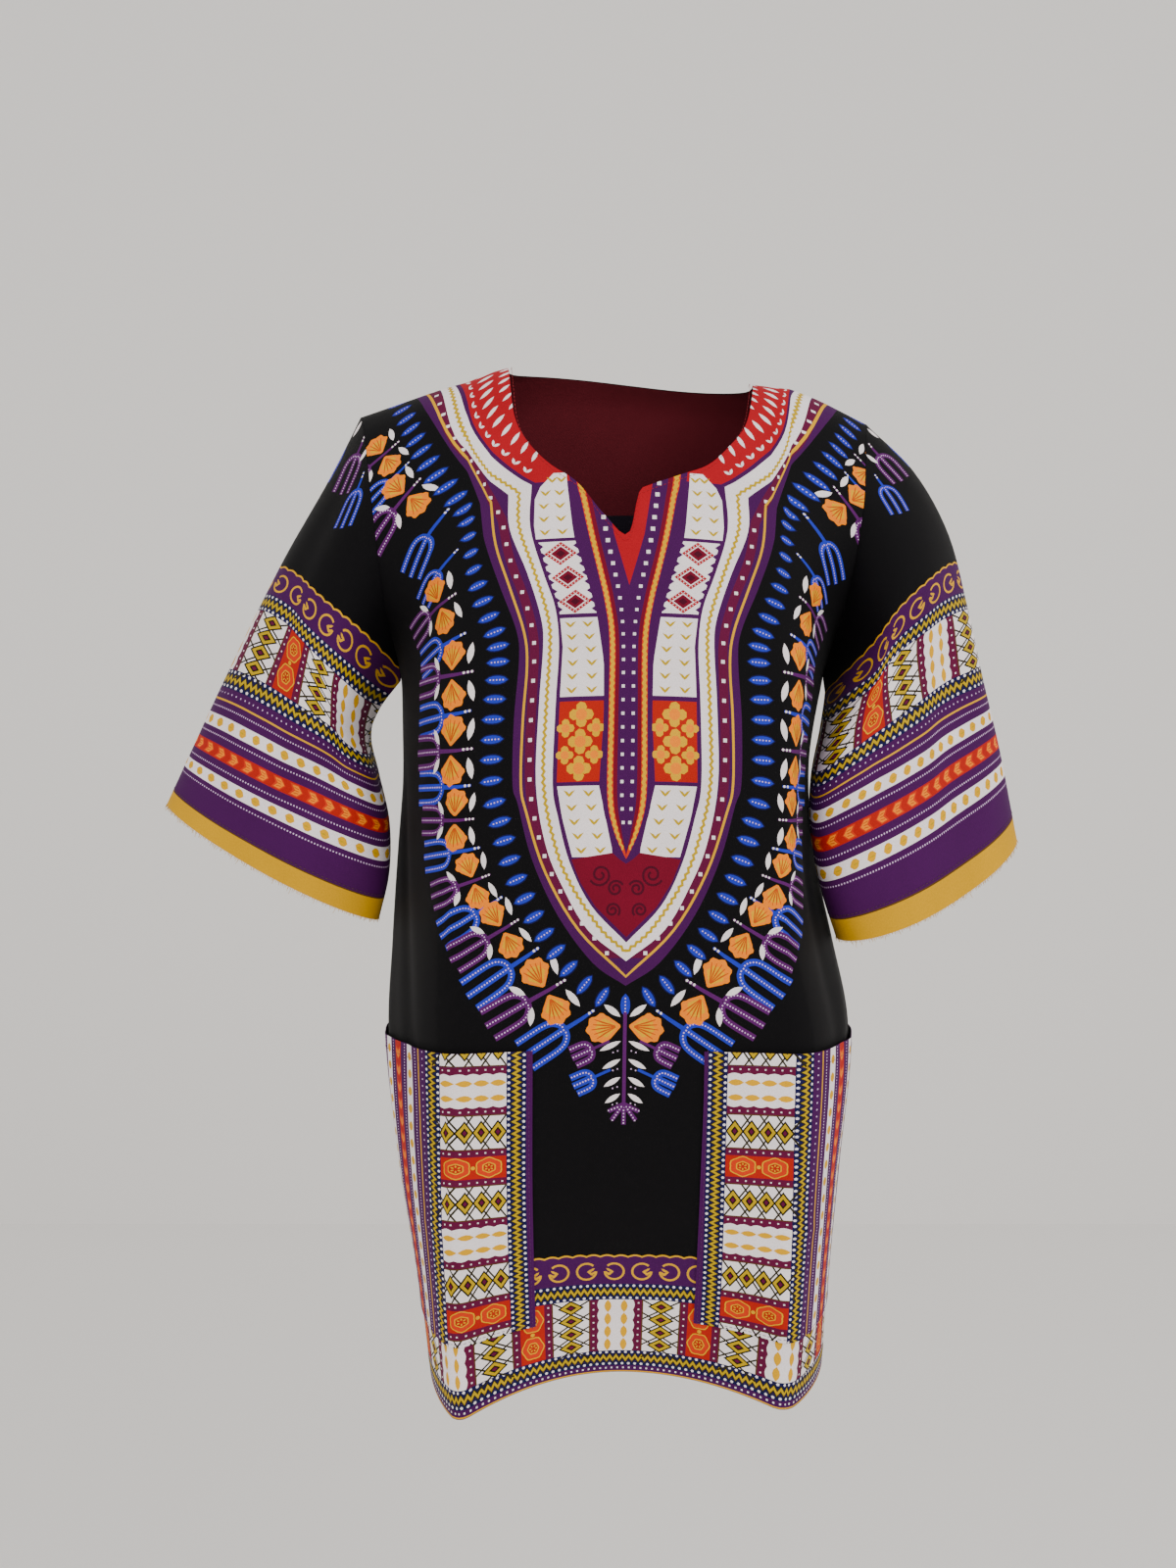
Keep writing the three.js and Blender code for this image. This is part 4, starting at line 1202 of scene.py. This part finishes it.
# ---- Prints of the pieces ----
MIDDLE_PANEL = -17  # left edge of the hem border's middle white panel, across the cloth
HALF_HEM = 300  # the hem's border is drawn this far to each side
GHOST_BANDS = ((76, 101), (64, 75), (7, 18))  # of the hem, seen on the wrong side, up from its edge
FOLD_FROM, FOLD_TO, FOLD_STEP = 0.93, 1.1, 0.012  # columns of points over a fold, as shares across


def body_print():
    pr = Print()
    hem = pr.placed(lambda p: np.stack([p[:, 0], HEM - p[:, 1]], 1))
    hem_border(hem, -HALF_HEM, HALF_HEM, MIDDLE_PANEL)
    wreath(pr)
    shield(pr)
    return pr.shapes


def ghost_print():
    """What shows of the print on the wrong side."""
    pr = Print()
    for low, high in GHOST_BANDS:
        pr.box(-HALF_HEM, HEM - low, HALF_HEM, HEM - high, "inside_border")
    # the ring and the upper shield, seen inside the neck of the back
    for ring, ink in ((PURPLE_OUT, "inside_border"), (WHITE_OUT, "inside_white"), (RING, "inside_red")):
        line = smooth([(x, y + 3) for x, y in ring if y < 125], 3)
        pr.fill(np.concatenate([line, (line * [-1, 1])[::-1]]), ink)
    return pr.shapes


def to_flat(panel, line):
    """Flat points of a line given by shares across and distances down."""
    return panel.share_to_flat(*np.array(line).T)


def fold_points(panel, low, high):
    """Close columns of points over the corner folds."""
    points = []
    for hand in (-1, 1):
        a, d = np.meshgrid(hand * np.arange(FOLD_FROM, FOLD_TO, FOLD_STEP), np.arange(low, high, GRID))
        points.append(panel.share_to_flat(a.ravel(), d.ravel()))
    return np.concatenate(points)


# front and back
down_edge = [(2.0, d) for d in np.arange(0, HEM + 1, 10.0)]
neck = smooth(FRONT_NECKLINE, 6, (NOTCH[0], NOTCH[1]))
shoulder = [(NECK_EDGE + (2 - NECK_EDGE) * t, 0) for t in np.linspace(0, 1, 30)]
hem_line = [(2 - 4 * t, HEM) for t in np.linspace(0, 1, 80)]


def panel_outline(panel, neck_line):
    def mirror(line):
        return [(-a, d) for a, d in line][::-1]

    return closed(*(to_flat(panel, line) for line in
                    (neck_line, shoulder, down_edge, hem_line, mirror(down_edge), mirror(shoulder))))


pieces = {}
front_outline = panel_outline(front, neck)
front_shapes = body_print()
pieces["front"] = cloth("front_cloth", front_outline, front_shapes, front.surface, body_cotton, ghost_print(),
                        extra=[fold_points(front, 120, HEM)])
turn = np.linspace(0, math.pi, 40)
back_neck = np.stack([-NECK_EDGE * np.cos(turn), BACK_NECK_DROP * np.sin(turn) ** 0.8], 1)
back_outline = panel_outline(back, back_neck)
back_leaves = Print()
for x, y in spaced([(-52, 37), (-30, 45), (0, 48), (30, 45), (52, 37)], 9):
    for low, high, wide in ((0, 17, 4.2), (22, 34, 3.2), (38, 46, 2.4)):
        back_leaves.leaf((x * (1 - low / 150), y + low), (x * (1 - high / 150), y + high), wide, "white", 3)
pieces["back"] = cloth("back_cloth", back_outline, front_shapes + back_leaves.shapes, back.surface, body_cotton,
                       ghost_print(), extra=[fold_points(back, 120, HEM)])

# sleeves
SLEEVE_SHIFT = {"left": -13.2, "right": 55.8}  # where the row of panels starts, round the sleeve
SLEEVE_GHOST = ((0, 14), (40, 48), (78, 85), (106, 117), (163, 174))
SLEEVE_STRETCH = 1.4  # the cap is narrower than the hem, so its border is drawn wider there
UNDERARM_GAP = 0.6  # each side of a sleeve's seam
for hand, sleeve in sleeves.items():
    top = np.stack([sleeve.ring, sleeve.long], 1)
    top[0, 0] += UNDERARM_GAP
    top[-1, 0] -= UNDERARM_GAP
    ends = [(top[0, 0], 0), (top[-1, 0], 0)]
    outline = closed(ends, [ends[1], top[-1]], top[::-1], [top[0], ends[0]])
    pr = Print()
    sleeve_forks(pr, sleeve.long.max())
    sleeve_border(pr, sleeve.ring[0] - 5, sleeve.ring[-1] + 5, SLEEVE_SHIFT[hand], stretch=SLEEVE_STRETCH)
    ghost = Print()
    for low, high in SLEEVE_GHOST:
        ghost.box(-400, low, 400, high, "inside_border")
    pieces["sleeve_" + hand] = cloth("sleeve_%s_cloth" % hand, outline, pr.shapes, sleeve.surface, sleeve_cotton,
                                     ghost.shapes)

# pockets
POCKETS = {"left": (-1, 0.53, 60.5), "right": (1, 0.447, 51)}  # side, inner edge as a share and in mm of cloth
POCKET_SCALE = 0.88
POCKET_PRINT = (495, 715)  # from and to, down the cloth
WHITE_PANEL_AT = 530  # middle of the pockets' upper white panel, down the cloth
BORDER = 179  # width of the whole border, from the pocket's inner edge outwards


def pocket_surface(inner):
    def surface(flat, outwards=0.0):
        across, down = front.flat_to_share(flat)
        share = np.clip((np.abs(across) - inner) / (POCKET_OUTER - inner), 0, 1)
        falls = 1 - (down - POCKET_TOP) / (POCKET_BOTTOM - POCKET_TOP)
        return front.surface(flat, SEAM + CLOTH + POCKET_SLACK * np.sin(np.pi * share) * falls ** 2 + outwards)
    return surface


for hand, (side, inner, edge) in POCKETS.items():
    rows = np.arange(POCKET_TOP, POCKET_BOTTOM + 1, 10.0)
    rows[-1] = POCKET_BOTTOM
    columns = np.linspace(inner, POCKET_OUTER, 40)
    lines = [[(side * a, POCKET_TOP) for a in columns], [(side * POCKET_OUTER, d) for d in rows],
             [(side * a, POCKET_BOTTOM) for a in columns[::-1]], [(side * inner, d) for d in rows[::-1]]]
    outline = closed(*(to_flat(front, line) for line in lines))
    if area_of(outline) < 0:
        outline = outline[::-1]
    pr = Print().placed(lambda p, s=side, e=edge: np.stack([s * (e + BORDER - p[:, 1]), p[:, 0] * POCKET_SCALE], 1))
    start, end = (down / POCKET_SCALE for down in POCKET_PRINT)
    shift = (WHITE_PANEL_AT - 13 * POCKET_SCALE) / POCKET_SCALE
    sleeve_border(pr, start, end, shift, curls=False, selvedge=0)
    pieces["pocket_" + hand] = cloth("pocket_%s_cloth" % hand, outline, pr.shapes, pocket_surface(inner),
                                     pocket_cotton, ground="purple",
                                     extra=[fold_points(front, POCKET_TOP, POCKET_BOTTOM)])


# ---- Stitches and frayed threads ----
def strands(name, bases, tips, radii, ink):
    """Three-sided threads from bases to tips, joined as one mesh."""
    bases, tips = np.array(bases), np.array(tips)
    ahead = unit(tips - bases)
    side = unit(np.cross(ahead, [0.31, 0.77, 0.55]))
    up = np.cross(ahead, side)
    points, faces = [], []
    for k in range(len(bases)):
        for end, r in ((bases[k], radii[k]), (tips[k], radii[k] * 0.7)):
            for corner in range(3):
                a = corner * 2 * math.pi / 3
                points.append(end + r * (math.cos(a) * side[k] + math.sin(a) * up[k]))
        n = 6 * k
        faces += [(n + c, n + (c + 1) % 3, n + 3 + (c + 1) % 3, n + 3 + c) for c in range(3)]
        faces += [(n + 2, n + 1, n), (n + 3, n + 4, n + 5)]
    colour = tuple(float(c) for c in linear(INKS[ink]))
    material = bpy.data.materials.get("thread_" + ink) or plain("thread_" + ink, colour, 0.7)
    return new_piece(name, np.array(points), faces, material)


def stitches(name, surface, lines, ink, length=2.0, pitch=3.2):
    """A row of stitches that lies on the cloth along flat lines."""
    starts, ends = [], []
    for line in lines:
        at = along(line, pitch)
        ahead = unit(np.gradient(at, axis=0)) * length / 2
        starts.append(at - ahead)
        ends.append(at + ahead)
    starts, ends = np.concatenate(starts), np.concatenate(ends)
    return strands(name, surface(starts, 0.12)[0], surface(ends, 0.12)[0], np.full(len(starts), 0.22), ink)


def hem_seam(panel):
    return to_flat(panel, [(a, HEM - TURNED_HEM) for a in np.linspace(-1.99, 1.99, 90)])


TURNED_HEM, TURNED_SLEEVE = 10, 16.5  # how far up from the edge the hems are stitched
random.seed(7)
thread_pieces = {}
thread_pieces["front"] = [
    stitches("front_hem_stitches", front.surface, [hem_seam(front)], "purple"),
    stitches("front_neck_stitches", front.surface, [to_flat(front, neck) * [0.97, 1] + [0, 4]], "red"),
]
thread_pieces["back"] = [
    stitches("back_hem_stitches", back.surface, [hem_seam(back)], "purple"),
    stitches("back_neck_stitches", back.surface, [to_flat(back, back_neck) + [0, 4.0]], "red"),
]
for hand, (side, inner, _) in POCKETS.items():
    top = to_flat(front, [(side * a, POCKET_TOP + 9) for a in np.linspace(inner + 0.02, POCKET_OUTER - 0.02, 40)])
    edges = [to_flat(front, [(side * (inner + 0.02), d) for d in np.linspace(POCKET_TOP, POCKET_BOTTOM, 40)]),
             to_flat(front, [(side * a, POCKET_BOTTOM - 2.2) for a in np.linspace(inner, POCKET_OUTER, 40)])]
    thread_pieces["pocket_" + hand] = [
        stitches("pocket_%s_stitches" % hand, pocket_surface(inner), [top, *edges], "mauve")]
for hand, sleeve in sleeves.items():
    rows = along([(sleeve.ring[0] + 3, 0), (sleeve.ring[-1] - 3, 0)], 0.85)
    bases = sleeve.surface(rows + [0, 0.6], -0.3)[0]
    low = sleeve.surface(rows + [0, 3.0], -0.3)[0]
    fall = unit(bases - low)
    reach = np.array([random.uniform(1.2, 3.4) + (random.random() < 0.12) * random.uniform(0.5, 2.5) for _ in rows])
    lean = np.array([[random.uniform(-0.5, 0.5), random.uniform(-0.3, 0.3), random.uniform(-0.2, 0.1)] for _ in rows])
    tips = bases + unit(fall + lean) * reach[:, None]
    thread_pieces["sleeve_" + hand] = [
        strands("sleeve_%s_fringe" % hand, bases, tips, np.full(len(rows), 0.2), "selvedge"),
        stitches("sleeve_%s_hem_stitches" % hand, sleeve.surface,
                 [[(sleeve.ring[0] + 3, TURNED_SLEEVE), (sleeve.ring[-1] - 3, TURNED_SLEEVE)]], "brown"),
    ]
for node, threads in thread_pieces.items():
    for thread in threads:
        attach(thread, "root")

for node, piece in pieces.items():
    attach(piece, "root")
    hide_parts(node)


# ---- Stage and light ----
FLOOR_AT, WALL_AT, STAGE_SIZE = -1.42, 2.4, 12  # in metres


def stage_plane(name, at, turn):
    bpy.ops.mesh.primitive_plane_add(size=STAGE_SIZE, location=at, rotation=(turn, 0, 0))
    plane = bpy.context.object
    plane.name = name
    plane.data.materials.append(plain("pale_" + name, (0.87, 0.85, 0.83), 0.9))


stage_plane("floor", (0, 0, FLOOR_AT), 0)
stage_plane("wall", (0, WALL_AT, 0), math.radians(90))

world = bpy.data.worlds.new("pale_room")
bpy.context.scene.world = world
world.use_nodes = True
world.node_tree.nodes["Background"].inputs["Color"].default_value = (0.76, 0.745, 0.725, 1)
world.node_tree.nodes["Background"].inputs["Strength"].default_value = 1.3


def area_light(name, at, towards, size, power):
    data = bpy.data.lights.new(name, "AREA")
    data.energy, data.size = power, size
    lamp = bpy.data.objects.new(name, data)
    lamp.location = at
    lamp.rotation_euler = (Vector(towards) - Vector(at)).to_track_quat("-Z", "Y").to_euler()
    bpy.context.collection.objects.link(lamp)


area_light("key", (1.5, -1.9, 0.8), (0, 0, -0.3), 1.5, 34)
area_light("fill", (-1.9, -1.6, 0.2), (0, 0, -0.4), 1.8, 12)
